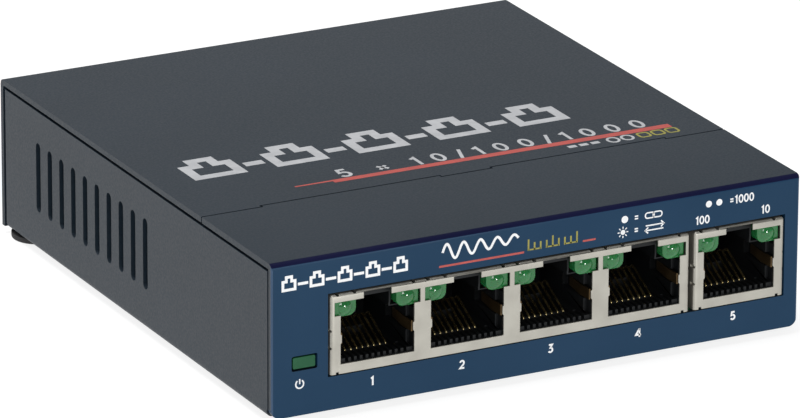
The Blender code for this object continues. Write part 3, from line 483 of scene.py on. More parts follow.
LOOKS = {
    "painted_case": powder_coat(),
    "front_paint": surface(
        "navy_front_paint", (0.0075, 0.036, 0.080), (0.0095, 0.040, 0.087), (0.34, 0.42),
        grain=2200.0, height=0.0025 * MM, blotch=40.0, Specular_IOR_Level=0.14,
    ),
    # A darker copy of the case paint for the front's top and bottom bends: painted shade, standing in for
    # the dark reflection along the top bend and the shade along the bottom one.
    "painted_bend_shade": surface(
        "dark_bend_painted_shade", (0.004, 0.005, 0.026), (0.005, 0.006, 0.031), (0.40, 0.50),
        grain=2200.0, height=0.0025 * MM, blotch=40.0, Specular_IOR_Level=0.10,
    ),
    # A lighter, glossier navy for the front panel's rolled upright edges: a painted highlight line.
    "painted_edge_highlight": surface(
        "rolled_edge_painted_highlight", (0.014, 0.050, 0.110), (0.020, 0.060, 0.130), (0.20, 0.28),
        grain=2200.0, height=0.002 * MM, blotch=40.0,
    ),
    "light_pipe": surface(
        "green_light_pipe", (0.012, 0.080, 0.034), (0.017, 0.098, 0.043), (0.22, 0.30),
        grain=500.0, height=0.002 * MM, blotch=350.0, Specular_IOR_Level=0.2,
    ),
    "bronze_spring": surface(
        "bronze_spring", (0.11, 0.072, 0.034), (0.15, 0.10, 0.05), (0.34, 0.46), 0.9,
        grain=1500.0, height=0.003 * MM, blotch=400.0,
    ),
    "tinned_shield": surface(
        "tinned_sheet", (0.375, 0.362, 0.320), (0.43, 0.417, 0.370), (0.34, 0.46), 0.8,
        grain=2200.0, height=0.003 * MM, stretch=(1.0, 1.0, 0.25), blotch=220.0,
    ),
    "black_plastic": surface(
        "black_moulded_plastic", (0.004, 0.005, 0.006), (0.007, 0.008, 0.009), (0.45, 0.58),
        grain=1800.0, height=0.004 * MM, Specular_IOR_Level=0.25,
    ),
    "green_lens": surface(
        "green_diffused_lens", (0.011, 0.125, 0.029), (0.017, 0.158, 0.041), (0.06, 0.10),
        grain=500.0, height=0.002 * MM, blotch=350.0,
        Subsurface_Weight=0.25, Subsurface_Scale=0.8 * MM, IOR=1.55,
    ),
    "gold_contacts": surface(
        "gold_plated_wire", (0.80, 0.62, 0.28), (0.92, 0.74, 0.38), (0.22, 0.32), 1.0,
        grain=3000.0, height=0.002 * MM, stretch=(1.0, 0.2, 0.2), blotch=700.0,
    ),
    "rubber_feet": surface(
        "black_rubber", (0.018, 0.018, 0.019), (0.034, 0.034, 0.035), (0.75, 0.92),
        grain=1500.0, height=0.02 * MM,
    ),
    "dark_screws": surface(
        "black_oxide_steel", (0.045, 0.045, 0.05), (0.085, 0.085, 0.09), (0.3, 0.45), 0.9,
        grain=1500.0, height=0.004 * MM,
    ),
    "bright_metal": surface(
        "nickel_plated_steel", (0.55, 0.54, 0.51), (0.68, 0.67, 0.64), (0.22, 0.36), 1.0,
        grain=1600.0, height=0.003 * MM,
    ),
    "heatsink_aluminium": surface(
        "extruded_aluminium", (0.70, 0.71, 0.73), (0.80, 0.81, 0.83), (0.32, 0.45), 1.0,
        grain=1400.0, height=0.006 * MM, stretch=(1.0, 0.04, 1.0),
    ),
    "capacitor_can": surface(
        "capacitor_sleeve", (0.012, 0.018, 0.045), (0.018, 0.026, 0.06), (0.22, 0.34),
        grain=700.0, height=0.006 * MM,
    ),
    "ferrite": surface(
        "sintered_ferrite", (0.06, 0.06, 0.065), (0.10, 0.10, 0.105), (0.55, 0.75),
        grain=1600.0, height=0.02 * MM,
    ),
}


def board_finish():
    """Green solder mask with faint copper tracks showing through it."""
    made, tree, shader = new_material("green_solder_mask")
    place = tree.nodes.new("ShaderNodeTexCoord")
    tracks = tree.nodes.new("ShaderNodeTexBrick")
    tracks.inputs["Scale"].default_value = 320.0
    tracks.inputs["Mortar Size"].default_value = 0.035
    tracks.inputs["Color1"].default_value = (0.010, 0.105, 0.040, 1.0)
    tracks.inputs["Color2"].default_value = (0.014, 0.125, 0.048, 1.0)
    tracks.inputs["Mortar"].default_value = (0.030, 0.200, 0.080, 1.0)
    link(tree, place, "Object", tracks, "Vector")
    link(tree, tracks, "Color", shader, "Base Color")
    grain = noise_from(tree, 800.0)
    link(tree, value_between(tree, grain, 0.22, 0.36), "Result", shader, "Roughness")
    bump_from(tree, shader, tracks, 0.012 * MM)
    return made


LOOKS["board"] = board_finish()

INKS = {
    "white": surface(
        "white_ink", (0.78, 0.79, 0.80), (0.86, 0.87, 0.88), (0.42, 0.55),
        grain=1800.0, blotch=500.0,
    ),
    "silver": surface(
        "silver_ink", (0.46, 0.47, 0.49), (0.54, 0.55, 0.57), (0.34, 0.46), 0.25,
        grain=2400.0, blotch=500.0,
    ),
    "red": surface(
        "red_ink", (0.40, 0.055, 0.045), (0.47, 0.075, 0.06), (0.42, 0.55),
        grain=1800.0, blotch=500.0,
    ),
    "olive": surface(
        "olive_ink", (0.24, 0.22, 0.035), (0.30, 0.275, 0.05), (0.42, 0.55),
        grain=1800.0, blotch=500.0,
    ),
}


# ---------------------------------------------------------------- camera, floor and light

CAMERA_TURN = math.radians(27.394)
CAMERA_RISE = math.radians(19.73)
CAMERA_ROLL = math.radians(0.267)
CAMERA_DISTANCE = 1260.147 * MM
CAMERA_ASIDE = 1.158 * MM
CAMERA_UP = 10.6 * MM
FOCAL_PIXELS = 7722.455
PICTURE_WIDTH = 800.0

# Name, place, size and power of each light, in metres and watts
STUDIO_LIGHTS = [
    ("top_light", (-0.25, 0.05, 1.1), (0.6, 0.6), 11.0),
    ("back_light", (0.07, 0.29, 0.13), (0.6, 0.2), 0.15),
    ("left_light", (-0.45, 0.3, 0.17), (0.5, 0.3), 0.25),
    ("low_light", (0.17, -1.18, 0.085), (0.13, 0.13), 3.3),
    ("front_light", (-0.5, -1.0, 0.5), (0.35, 0.35), 3.2),
]
LIGHT_AIM = Vector((0.0, 0.0, 0.012))
FLOOR_REACH = 6.0
FLOOR_DROP = 0.02 * MM


def add_camera():
    data = bpy.data.cameras.new("camera")
    data.sensor_width = 36.0
    data.lens = FOCAL_PIXELS * data.sensor_width / PICTURE_WIDTH
    data.clip_start = 0.01
    data.clip_end = 20.0
    camera = bpy.data.objects.new("camera", data)
    bpy.context.scene.collection.objects.link(camera)
    bpy.context.scene.camera = camera
    sin_turn, cos_turn = math.sin(CAMERA_TURN), math.cos(CAMERA_TURN)
    sin_rise, cos_rise = math.sin(CAMERA_RISE), math.cos(CAMERA_RISE)
    back = Vector((-sin_turn * cos_rise, -cos_turn * cos_rise, sin_rise))
    right = Vector((cos_turn, -sin_turn, 0.0))
    up = Vector((sin_rise * sin_turn, sin_rise * cos_turn, cos_rise))
    rolled_right = right * math.cos(CAMERA_ROLL) + up * math.sin(CAMERA_ROLL)
    rolled_up = up * math.cos(CAMERA_ROLL) - right * math.sin(CAMERA_ROLL)
    place = back * CAMERA_DISTANCE + right * CAMERA_ASIDE + up * CAMERA_UP + Vector((0.0, 0.0, BASE))
    matrix = Matrix((rolled_right, rolled_up, back)).transposed().to_4x4()
    matrix.translation = place
    camera.matrix_world = matrix


def add_light(name, place, size, power):
    data = bpy.data.lights.new(name, "AREA")
    data.shape = "RECTANGLE"
    data.size, data.size_y = size
    data.energy = power
    light = bpy.data.objects.new(name, data)
    bpy.context.scene.collection.objects.link(light)
    light.location = place
    light.rotation_mode = "QUATERNION"
    light.rotation_quaternion = (LIGHT_AIM - Vector(place)).to_track_quat("-Z", "Y")


def add_studio():
    floor_look, tree, shader = new_material("studio_floor")
    pattern = noise_from(tree, 6.0, 2.0)
    white = colour_between(tree, pattern, (0.24,) * 3, (0.25,) * 3)
    link(tree, white, "Color", shader, "Base Color")
    shader.inputs["Emission Color"].default_value = (1.0, 1.0, 1.0, 1.0)
    shader.inputs["Emission Strength"].default_value = 0.84
    shader.inputs["Roughness"].default_value = 0.9
    shader.inputs["Specular IOR Level"].default_value = 0.1
    bm = bmesh.new()
    bmesh.ops.create_grid(bm, x_segments=1, y_segments=1, size=FLOOR_REACH)
    floor = piece("studio_floor", bm, floor_look)
    floor.location.z = -FLOOR_DROP

    world = bpy.data.worlds.new("studio")
    bpy.context.scene.world = world
    world.use_nodes = True
    background = world.node_tree.nodes["Background"]
    background.inputs["Color"].default_value = (1.0, 1.0, 1.0, 1.0)
    background.inputs["Strength"].default_value = 0.20
    for name, place, size, power in STUDIO_LIGHTS:
        add_light(name, place, size, power)
    bpy.context.scene.view_settings.view_transform = "Standard"


# ---------------------------------------------------------------- case

PRINT = 0.015 * MM
PAINTED_TOP = TOP - PRINT


def settled(made, slot, body, *nodes):
    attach(made, body)
    if nodes:
        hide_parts(*nodes)
    return made


def case_tray():
    """Bottom, side walls, front panel and top strip, folded from one sheet."""
    bm = bmesh.new()
    add_box(bm, (-RIGHT, FRONT, BASE), (RIGHT, WALL_BACK, PAINTED_TOP))
    round_edges(bm, lambda middle, along: abs(along.y) > 0.9 and middle.z < BASE + SHEET, BEND, 8)
    front = FRONT + 0.1 * MM
    round_edges(
        bm,
        lambda middle, along: abs(along.x) > 0.9 and abs(middle.x) < 0.1 * MM and middle.y < front,
        BEND,
        8,
    )
    tray = piece("case_tray", bm, LOOKS["painted_case"])

    inside = bmesh.new()
    low = (-RIGHT + SHEET, FRONT + SHEET, BASE + SHEET)
    add_box(inside, low, (RIGHT - SHEET, BACK + SHEET, TOP - SHEET))
    round_edges(
        inside,
        lambda middle, along: abs(along.y) > 0.9 and middle.z < BASE + 2 * SHEET
        or abs(along.x) > 0.9 and middle.y < 0.0,
        0.5 * BEND,
        5,
    )
    carve(tray, inside)

    above = bmesh.new()
    outline = []
    for side in (-1, 1):
        outline += [
            (side * 2 * RIGHT, SEAM - SEAM_STEP),
            (side * SIDE_TONGUE, SEAM - SEAM_STEP),
            (side * SIDE_TONGUE, SEAM),
            (side * MIDDLE_TONGUE, SEAM),
            (side * MIDDLE_TONGUE, SEAM - SEAM_STEP),
        ][:: -side]
    outline += [(2 * RIGHT, 2 * BACK), (-2 * RIGHT, 2 * BACK)]
    add_prism(above, outline, Matrix.Translation((0.0, 0.0, WALL_TOP + 2 * MM)), 4 * MM)
    carve(tray, above)

    panel_back = FRONT + SHEET
    slit_back = panel_back + WALL_SLIT
    relief_back = slit_back + RELIEF_EXTRA
    inner_side = RIGHT - 1.1 * SHEET
    outside = RIGHT + SHEET
    # Above the side walls, in front of them, and at their front lower corners
    for low, high in (
        ((inner_side, panel_back, WALL_TOP), (outside, SEAM + SHEET, TOP - SHEET)),
        ((inner_side, panel_back, BASE + 0.9 * SHEET), (outside, slit_back, WALL_TOP + 0.2 * MM)),
        ((RIGHT - SHEET, panel_back, BASE - SHEET), (outside, relief_back, BASE + 1.2 * SHEET)),
    ):
        cut = bmesh.new()
        mirrored_boxes(cut, low, high)
        carve(tray, cut)

    # The front panel's lower corners are rounded, and its upright edges are rolled a little.
    lower = arc(RIGHT - CORNER, BASE + CORNER, CORNER, CORNER, -90, 0, 8)
    lower += [(outside, BASE + CORNER), (outside, BASE - SHEET), (RIGHT - CORNER, BASE - SHEET)]
    edge = arc(RIGHT - EDGE_ROLL, FRONT + EDGE_ROLL, EDGE_ROLL, EDGE_ROLL, -90, 0, 6)
    edge += [(outside, FRONT + EDGE_ROLL), (outside, FRONT - SHEET), (RIGHT - EDGE_ROLL, FRONT - SHEET)]
    for side in (-1, 1):
        corner = bmesh.new()
        add_prism(corner, [(side * across, up) for across, up in lower], facing_front(FRONT), 2.4 * SHEET)
        carve(tray, corner)
        roll = bmesh.new()
        upright = Matrix.Translation((0.0, 0.0, (BASE + TOP) / 2))
        add_prism(roll, [(side * across, along) for across, along in edge], upright, 2 * (TOP - BASE))
        carve(tray, roll)

    openings = bmesh.new()
    add_box(
        openings,
        (GANG_LOW.x - CUTOUT_SIDE, FRONT - SHEET, CUTOUT_BOTTOM),
        (SINGLE_HIGH.x + CUTOUT_SIDE, FRONT + 2 * SHEET, CUTOUT_TOP),
    )
    window = rounded_rectangle(
        PIPE_LOW.x - CUTOUT_SIDE, WINDOW_BOTTOM, PIPE_HIGH.x + CUTOUT_SIDE, WINDOW_TOP, 0.35 * MM
    )
    add_prism(openings, window, facing_front(FRONT), 4 * SHEET)
    carve(tray, openings)

    air = bmesh.new()
    for number in range(SLOT_COUNT):
        y = FIRST_SLOT + SLOT_PITCH * number
        outline = [(y + across, SLOT_MIDDLE + up) for across, up in slot_outline(SLOT_WIDTH, SLOT_HEIGHT)]
        for side in (-1, 1):
            add_prism(air, outline, facing_side(side * (RIGHT - SHEET / 2)), 3 * SHEET)
    carve(tray, air)

    tabs = bmesh.new()
    mirrored_boxes(
        tabs,
        (RIGHT - COVER_TAB_WIDTH, WALL_BACK - 1.2 * SHEET, BACK_MIDDLE - COVER_TAB_HALF_HEIGHT),
        (RIGHT - SHEET / 2, WALL_BACK - 0.2 * SHEET, BACK_MIDDLE + COVER_TAB_HALF_HEIGHT),
    )
    carve(tray, tabs, "UNION")

    holes = bmesh.new()
    for side in (-1, 1):
        x = side * COVER_SCREW_X
        start = (x, WALL_BACK - 3 * SHEET, BACK_MIDDLE)
        add_cylinder(holes, start, (x, BACK, BACK_MIDDLE), COVER_HOLE_RADIUS)
    for number in range(1, 5):
        x, y = middle_of(f"board_post_{number}").xy
        add_cylinder(holes, (x, y, BASE - SHEET), (x, y, BASE + 2 * SHEET), POST_HOLE_RADIUS, 40)
    carve(tray, holes)
    for look in ("front_paint", "painted_bend_shade", "painted_edge_highlight"):
        tray.data.materials.append(LOOKS[look])
    for face in tray.data.polygons:
        if face.center.y > FRONT + BEND:
            continue
        # The rolled upright edges of the front panel: a lighter paint, as a painted highlight.
        if face.normal.y < -0.1 and abs(face.normal.x) > 0.1:
            face.material_index = 3
        elif face.normal.y < -0.95 or abs(face.normal.x) > 0.9:
            face.material_index = 1
        # The bends between the front and the top and bottom: a darker paint, as painted shade.
        elif face.normal.y < -0.1:
            face.material_index = 2
    soften(tray, TRAY_ROUNDING, 3)
    return settled(tray, "painted_case", "case", "chassis_tray")


def case_cover():
    """Top plate and back panel, with tongues that hook under the strip."""
    bm = bmesh.new()
    front_edge = SEAM + SEAM_GAP
    add_box(bm, (-RIGHT, front_edge, BASE), (RIGHT, BACK, PAINTED_TOP))
    round_edges(
        bm,
        lambda middle, along: abs(along.x) > 0.9 and middle.y > 0.0 and middle.z > TOP - 0.1 * MM,
        BEND,
        8,
    )
    cover = piece("case_cover", bm, LOOKS["painted_case"])
    under = bmesh.new()
    add_box(under, (-2 * RIGHT, FRONT, 0.0), (2 * RIGHT, BACK - SHEET, TOP - SHEET))
    round_edges(
        under,
        lambda middle, along: abs(along.x) > 0.9 and middle.y > 0.0 and middle.z > BASE,
        0.5 * BEND,
        5,
    )
    carve(cover, under)

    lip = front_edge - SEAM_STEP
    tongue_top = TOP - SHEET - SEAM_GAP
    tongue_end = COVER_LOW.y
    root = front_edge + 1.5 * SHEET
    step = 0.45 * SHEET
    outline = [
        (lip, PAINTED_TOP),
        (lip, tongue_top),
        (tongue_end, tongue_top),
        (tongue_end, tongue_top - SHEET),
        (root, tongue_top - SHEET),
        (root, PAINTED_TOP - step),
        (front_edge + step, PAINTED_TOP),
    ]
    spans = [
        (-RIGHT + 1.6 * SHEET, -SIDE_TONGUE - SEAM_GAP),
        (-MIDDLE_TONGUE + SEAM_GAP, MIDDLE_TONGUE - SEAM_GAP),
        (SIDE_TONGUE + SEAM_GAP, RIGHT - 1.6 * SHEET),
    ]
    tongues = bmesh.new()
    for left, right in spans:
        add_prism(tongues, outline, facing_side((left + right) / 2), right - left)
    carve(cover, tongues, "UNION")
    corners = bmesh.new()
    low = (RIGHT - 2 * SHEET, lip, TOP - SHEET)
    mirrored_boxes(corners, low, (RIGHT, front_edge + SHEET, PAINTED_TOP))
    carve(cover, corners, "UNION")

    openings = bmesh.new()
    add_box(
        openings,
        (JACK_LOW.x - SEAM_GAP, BACK - 2 * SHEET, JACK_LOW.z - SEAM_GAP),
        (JACK_HIGH.x + SEAM_GAP, BACK + SHEET, JACK_HIGH.z + SEAM_GAP),
    )
    round_edges(openings, lambda middle, along: abs(along.y) > 0.9, 0.4 * MM, 5)
    slot = slot_outline(LOCK_HEIGHT, LOCK_WIDTH, 16)
    lock = [(LOCK_X + up, BACK_MIDDLE + across) for across, up in slot]
    add_prism(openings, lock, facing_front(BACK - SHEET / 2), 3 * SHEET)
    for side in (-1, 1):
        x = side * COVER_SCREW_X
        start, end = (x, BACK - 2 * SHEET, BACK_MIDDLE), (x, BACK + SHEET, BACK_MIDDLE)
        add_cylinder(openings, start, end, COVER_HOLE_RADIUS, 48)
    carve(cover, openings)
    sinks = bmesh.new()
    for side in (-1, 1):
        x = side * COVER_SCREW_X
        start, end = (x, BACK - SINK_DEPTH, BACK_MIDDLE), (x, BACK + SINK_DEPTH, BACK_MIDDLE)
        add_cylinder(sinks, start, end, COVER_HOLE_RADIUS, 48, COVER_HOLE_RADIUS + 2.4 * SINK_DEPTH)
    carve(cover, sinks)
    soften(cover, COVER_ROUNDING, 3)
    return settled(cover, "painted_case", "case", "top_cover")


def feet():
    for end in ("front", "back"):
        for side in ("left", "right"):
            node = f"rubber_foot_{end}_{side}"
            low, high = corners_of(node)
            x, y = middle_of(node).xy
            radius = (high.x - low.x) / 2
            bm = bmesh.new()
            add_cylinder(bm, (x, y, low.z), (x, y, high.z), radius, 64)
            round_edges(bm, lambda middle, along: middle.z < low.z + 0.1 * MM, FOOT_ROUNDING, 5)
            foot = piece(f"foot_{end}_{side}", bm, LOOKS["rubber_feet"])
            recess = bmesh.new()
            add_cylinder(recess, (x, y, low.z - MM), (x, y, low.z + FOOT_RECESS_DEPTH), 0.45 * radius, 48)
            carve(foot, recess)
            soften(foot, 0.06 * MM)
            settled(foot, "rubber_feet", "case", node)


def screws():
    """Countersunk heads with a cross recess, over the CAD screws' places."""
    for side, sign in (("left", -1), ("right", 1)):
        x = sign * COVER_SCREW_X
        low, high = corners_of(f"cover_screw_{side}")
        radius = (high.x - low.x) / 2
        bm = bmesh.new()
        shank_end = (x, BACK - 0.5 * MM, BACK_MIDDLE)
        add_cylinder(bm, (x, low.y, BACK_MIDDLE), shank_end, SCREW_RADIUS, 32)
        screw = piece(f"cover_screw_{side}_finish", bm, LOOKS["dark_screws"])
        head = bmesh.new()
        start, end = (x, BACK - 0.8 * MM, BACK_MIDDLE), (x, high.y - 0.02 * MM, BACK_MIDDLE)
        add_cylinder(head, start, end, SCREW_RADIUS, 64, radius)
        carve(screw, head, "UNION")
        recesses = ((CROSS_LENGTH, CROSS_WIDTH), (CROSS_WIDTH, CROSS_LENGTH), (CROSS_MIDDLE, CROSS_MIDDLE))
        for length, width in recesses:
            cut = bmesh.new()
            low_corner = (x - length / 2, BACK - CROSS_DEPTH, BACK_MIDDLE - width / 2)
            add_box(cut, low_corner, (x + length / 2, BACK + MM, BACK_MIDDLE + width / 2))
            carve(screw, cut)
        soften(screw, 0.05 * MM)
        settled(screw, "dark_screws", "case", f"cover_screw_{side}")


# ---------------------------------------------------------------- sockets

def mirrored_outline(x, half):
    """Closes an outline drawn down its right half, about an upright line at x."""
    right = [(x + across, up) for across, up in half]
    return right + [(x - across, up) for across, up in reversed(half)]


def mouth_outline(x):
    half = [
        (NOTCH_HALF, NOTCH_TOP),
        (NOTCH_HALF, LIGHT_TOP),
        (LIGHT_HALF, LIGHT_TOP),
        (LIGHT_HALF, SHOULDER),
        (MOUTH_HALF, SHOULDER),
        (MOUTH_HALF, MOUTH_BOTTOM),
    ]
    return mirrored_outline(x, half)


def socket_shield(name, node, ports):
    """Thin tinned sheet round a row of sockets, with windows, stamped notches and small side tabs."""
    low, high = corners_of(node)
    bm = bmesh.new()
    add_box(bm, low, high)
    round_edges(bm, lambda middle, along: middle.z > high.z - 0.1 * MM or abs(along.z) > 0.9, 0.5 * MM, 6)
    shield = piece(name, bm, LOOKS["tinned_shield"])
    inside = bmesh.new()
    sheet = Vector((SHIELD_SHEET, SHIELD_SHEET, 0.0))
    add_box(inside, low + sheet - Vector((0.0, 0.0, MM)), high - sheet - Vector((0.0, 0.0, SHIELD_SHEET)))
    carve(shield, inside)
    windows = bmesh.new()
    for x in ports:
        add_prism(windows, mouth_outline(x), facing_front(low.y), 4 * SHIELD_SHEET)
    carve(shield, windows)

    notches = bmesh.new()
    for x in ports:
        for aside in TOP_NOTCHES:
            start, end = (x + aside, low.y - MM, high.z), (x + aside, low.y + TOP_NOTCH_DEPTH, high.z)
            add_cylinder(notches, start, end, TOP_NOTCH_RADIUS, 20)
    for side in (low.x, high.x):
        inward = 1.2 * MM if side == low.x else -1.2 * MM
        add_box(
            notches,
            (side + inward - 0.25 * MM, low.y - MM, low.z - MM),
            (side + inward + 0.25 * MM, low.y + 1.5 * MM, low.z + 0.35 * MM),
        )
        for up in SIDE_NOTCHES:
            start, end = (side, low.y - MM, up), (side, low.y + 1.2 * MM, up)
            add_cylinder(notches, start, end, SIDE_NOTCH_RADIUS, 16)
    carve(shield, notches)

    tabs = bmesh.new()
    for x in ports:
        for side in (-1, 1):
            edge, tip = x + side * (MOUTH_HALF + 0.1 * MM), x + side * (MOUTH_HALF - TAB_REACH)
            outline = [
                (edge, FINGER_BOTTOM),
                (tip, FINGER_BOTTOM + 0.3 * MM),
                (tip, FINGER_TOP - 0.3 * MM),
                (edge, FINGER_TOP),
            ]
            add_prism(tabs, outline, facing_front(low.y + SHIELD_SHEET / 2), SHIELD_SHEET)
    carve(shield, tabs, "UNION")
    soften(shield, 0.05 * MM)
    return settled(shield, "tinned_shield", "case", node)


def grounding_fingers():
    """Two bronze springs per socket, along the side walls behind the shield's small tabs."""
    front = SHIELD_FRONT + SHIELD_SHEET + 0.03 * MM
    middle = (FINGER_BOTTOM + FINGER_TOP) / 2
    for number, x in enumerate(PORTS, start=1):
        bm = bmesh.new()
        for side in (-1, 1):
            wall = x + side * (MOUTH_HALF + 0.3 * MM)
            belly = x + side * (MOUTH_HALF - BELLY_REACH)
            outline = [
                (wall - side * 0.7 * MM, front),
                (belly, front + BELLY_BACK),
                (wall - side * SPRING_SHEET, SHIELD_FRONT + FINGER_DEPTH),
                (wall, SHIELD_FRONT + FINGER_DEPTH),
                (belly + side * SPRING_SHEET, front + BELLY_BACK),
                (wall - side * 0.45 * MM, front),
            ]
            add_prism(bm, outline, Matrix.Translation((0.0, 0.0, middle)), FINGER_TOP - FINGER_BOTTOM)
        springs = piece(f"grounding_fingers_{number}", bm, LOOKS["bronze_spring"])
        soften(springs, 0.04 * MM)
        settled(springs, "tinned_shield", "case")


def socket_housing(name, node, ports):
    """Black moulding in a shield: plug cavity, latch channel, contact comb and light pockets."""
    low, high = corners_of(node)
    bm = bmesh.new()
    add_box(bm, low, high)
    housing = piece(name, bm, LOOKS["black_plastic"])
    for x in ports:
        cavity = bmesh.new()
        half = [
            (LATCH_HALF, LATCH_TOP),
            (LATCH_HALF, PLUG_CEILING),
            (PLUG_HALF, PLUG_CEILING),
            (PLUG_HALF, PLUG_FLOOR),
        ]
        outline = mirrored_outline(x, half)
        depth = PLUG_DEPTH + MM
        add_prism(cavity, outline, facing_front(low.y - MM + depth / 2), depth)
        carve(housing, cavity)
        details = bmesh.new()
        add_box(
            details,
            (x - WELL_HALF, WELL_FRONT, WELL_BOTTOM),
            (x + WELL_HALF, WELL_BACK, PLUG_FLOOR + 0.5 * MM),
        )
        carve(housing, details)
        comb = bmesh.new()
        for number in range(COMB_SLOTS):
            middle = x + (number - (COMB_SLOTS - 1) / 2) * WIRE_PITCH
            add_box(
                comb,
                (middle - COMB_WIDTH / 2, low.y - MM, MOUTH_BOTTOM),
                (middle + COMB_WIDTH / 2, COMB_BACK, PLUG_FLOOR + 0.3 * MM),
            )
        carve(housing, comb)
        channels = bmesh.new()
        for side in (-1, 1):
            inner, outer = x + side * (PLUG_HALF - 0.1 * MM), x + side * (PLUG_HALF + 0.95 * MM)
            add_box(
                channels,
                (min(inner, outer), low.y - MM, FINGER_BOTTOM - 0.25 * MM),
                (max(inner, outer), low.y + FINGER_DEPTH + 0.6 * MM, FINGER_TOP + 0.25 * MM),
            )
        carve(housing, channels)
        mouth_rim = bmesh.new()
        rim = PLUG_HALF + 0.55 * MM
        add_box(mouth_rim, (x - rim, low.y - MM, PLUG_FLOOR), (x + rim, low.y + RIM_DEPTH, SHOULDER))
        carve(housing, mouth_rim)
    pockets = bmesh.new()
    edges = [low.x - MM]
    for x in ports:
        edges += [x - POCKET_INNER, x + POCKET_INNER]
    edges.append(high.x + MM)
    for start, end in zip(edges[::2], edges[1::2]):
        add_box(pockets, (start, low.y - MM, POCKET_BOTTOM), (end, high.y + MM, high.z + MM))
    carve(housing, pockets)
    step_back = bmesh.new()
    start = (low.x - MM, low.y - MM, STEP_BOTTOM)
    add_box(step_back, start, (high.x + MM, low.y + STEP_DEPTH, high.z + MM))
    carve(housing, step_back)
    soften(housing, 0.02 * MM, 1)
    return settled(housing, "black_plastic", "case", node)


def lens_outline(left, bottom, right, top, inner):
    """A light's face: small corners, and one large one at the lower corner next to the latch."""
    lower = [1.25 * MM if abs(x - inner) < 0.1 * MM else 0.45 * MM for x in (left, right)]
    return rounded_outline(left, bottom, right, top, (0.25 * MM, 0.25 * MM, *lower), 10)


def add_lens(bm, outline, front, length):
    """A bar of one cross-section along Y with rounded front edges, and a round lens on its face."""
    middle_across = (min(x for x, z in outline) + max(x for x, z in outline)) / 2
    middle_up = (min(z for x, z in outline) + max(z for x, z in outline)) / 2
    half_across = max(x for x, z in outline) - middle_across
    half_up = max(z for x, z in outline) - middle_up
    levels = [(0.0, length)]
    for step in range(7):
        angle = math.radians(90 * step / 6)
        inset, depth = EDGE_ROUND * (1 - math.cos(angle)), EDGE_ROUND * (1 - math.sin(angle))
        levels.append((inset, FACE_SETBACK + depth))
    made = []
    for inset, depth in levels:
        ring = []
        for x, z in outline:
            across = middle_across + (x - middle_across) * (1 - inset / half_across)
            up = middle_up + (z - middle_up) * (1 - inset / half_up)
            ring.append(bm.verts.new((across, front + depth, up)))
        made.append(ring)
    count = len(outline)
    for first, second in zip(made, made[1:]):
        for index in range(count):
            other = (index + 1) % count
            bm.faces.new((first[index], first[other], second[other], second[index]))
    bm.faces.new(list(reversed(made[0])))
    bm.faces.new(made[-1])
    cap = math.acos(1 - FACE_SETBACK / LENS_RADIUS)
    rings = []
    for step in range(1, 9):
        angle = cap * 1.02 * step / 8
        reach, depth = LENS_RADIUS * math.sin(angle), LENS_RADIUS * (1 - math.cos(angle))
        circle = arc(middle_across, middle_up, reach, reach, 0, 352.5, 47)
        rings.append([bm.verts.new((x, front + depth, z)) for x, z in circle])
    tip = bm.verts.new((middle_across, front, middle_up))
    sides = len(rings[0])
    for index in range(sides):
        other = (index + 1) % sides
        bm.faces.new((tip, rings[0][index], rings[0][other]))
        for first, second in zip(rings, rings[1:]):
            bm.faces.new((first[index], first[other], second[other], second[index]))
    bm.faces.new(rings[-1])
    bmesh.ops.recalc_face_normals(bm, faces=bm.faces)


def link_lights():
    """Rectangular green lights with a rounded lower inner corner, a lens and two leads each."""
    for number in range(1, len(PORTS) + 1):
        for side, word in ((-1, "left"), (1, "right")):
            node = f"link_light_{number}_{word}"
            low, high = corners_of(node)
            front = SHIELD_FRONT + 0.03 * MM
            length = low.y + LIGHT_LENGTH - front
            inner = low.x if side > 0 else high.x
            outline = lens_outline(low.x, LIGHT_BOTTOM, high.x, high.z, inner)
            bm = bmesh.new()
            add_lens(bm, outline, front, length)
            lens = piece(f"light_lens_{number}_{word}", bm, LOOKS["green_lens"])
            smooth(lens, 50.0)
            settled(lens, "green_lens", "case", node)

            leads = bmesh.new()
            middle = (low.x + high.x) / 2
            lead_z = (LIGHT_BOTTOM + high.z) / 2 - 0.2 * MM
            back = high.y - 0.2 * MM
            for shift in (-LEAD_SPREAD, LEAD_SPREAD):
                x = middle + shift
                corners = [
                    Vector((x, low.y + LIGHT_LENGTH - 0.4 * MM, lead_z)),
                    Vector((x, back, lead_z)),
                    Vector((x, back, low.z + 0.01 * MM)),
                ]
                add_tube(leads, rounded_route(corners, LEAD_BEND), LEAD_RADIUS, 10)
            made = piece(f"light_leads_{number}_{word}", leads, LOOKS["bright_metal"])
            smooth(made)
            settled(made, "bright_metal", "case")


def power_light_window():
    """The green bar in the small window at the panel's lower left, just behind the panel's face."""
    bottom, front, back = PIPE_HIGH.z - PIPE_HEIGHT, FRONT + PIPE_RECESS, PIPE_HIGH.y
    bm = bmesh.new()
    outline = rounded_rectangle(PIPE_LOW.x, bottom, PIPE_HIGH.x, PIPE_HIGH.z, 0.25 * MM)
    add_prism(bm, outline, facing_front((front + back) / 2), back - front)
    window = piece("power_light_window", bm, LOOKS["light_pipe"])
    soften(window, 0.08 * MM, 3)
    settled(window, "green_lens", "case", "power_light_pipe")


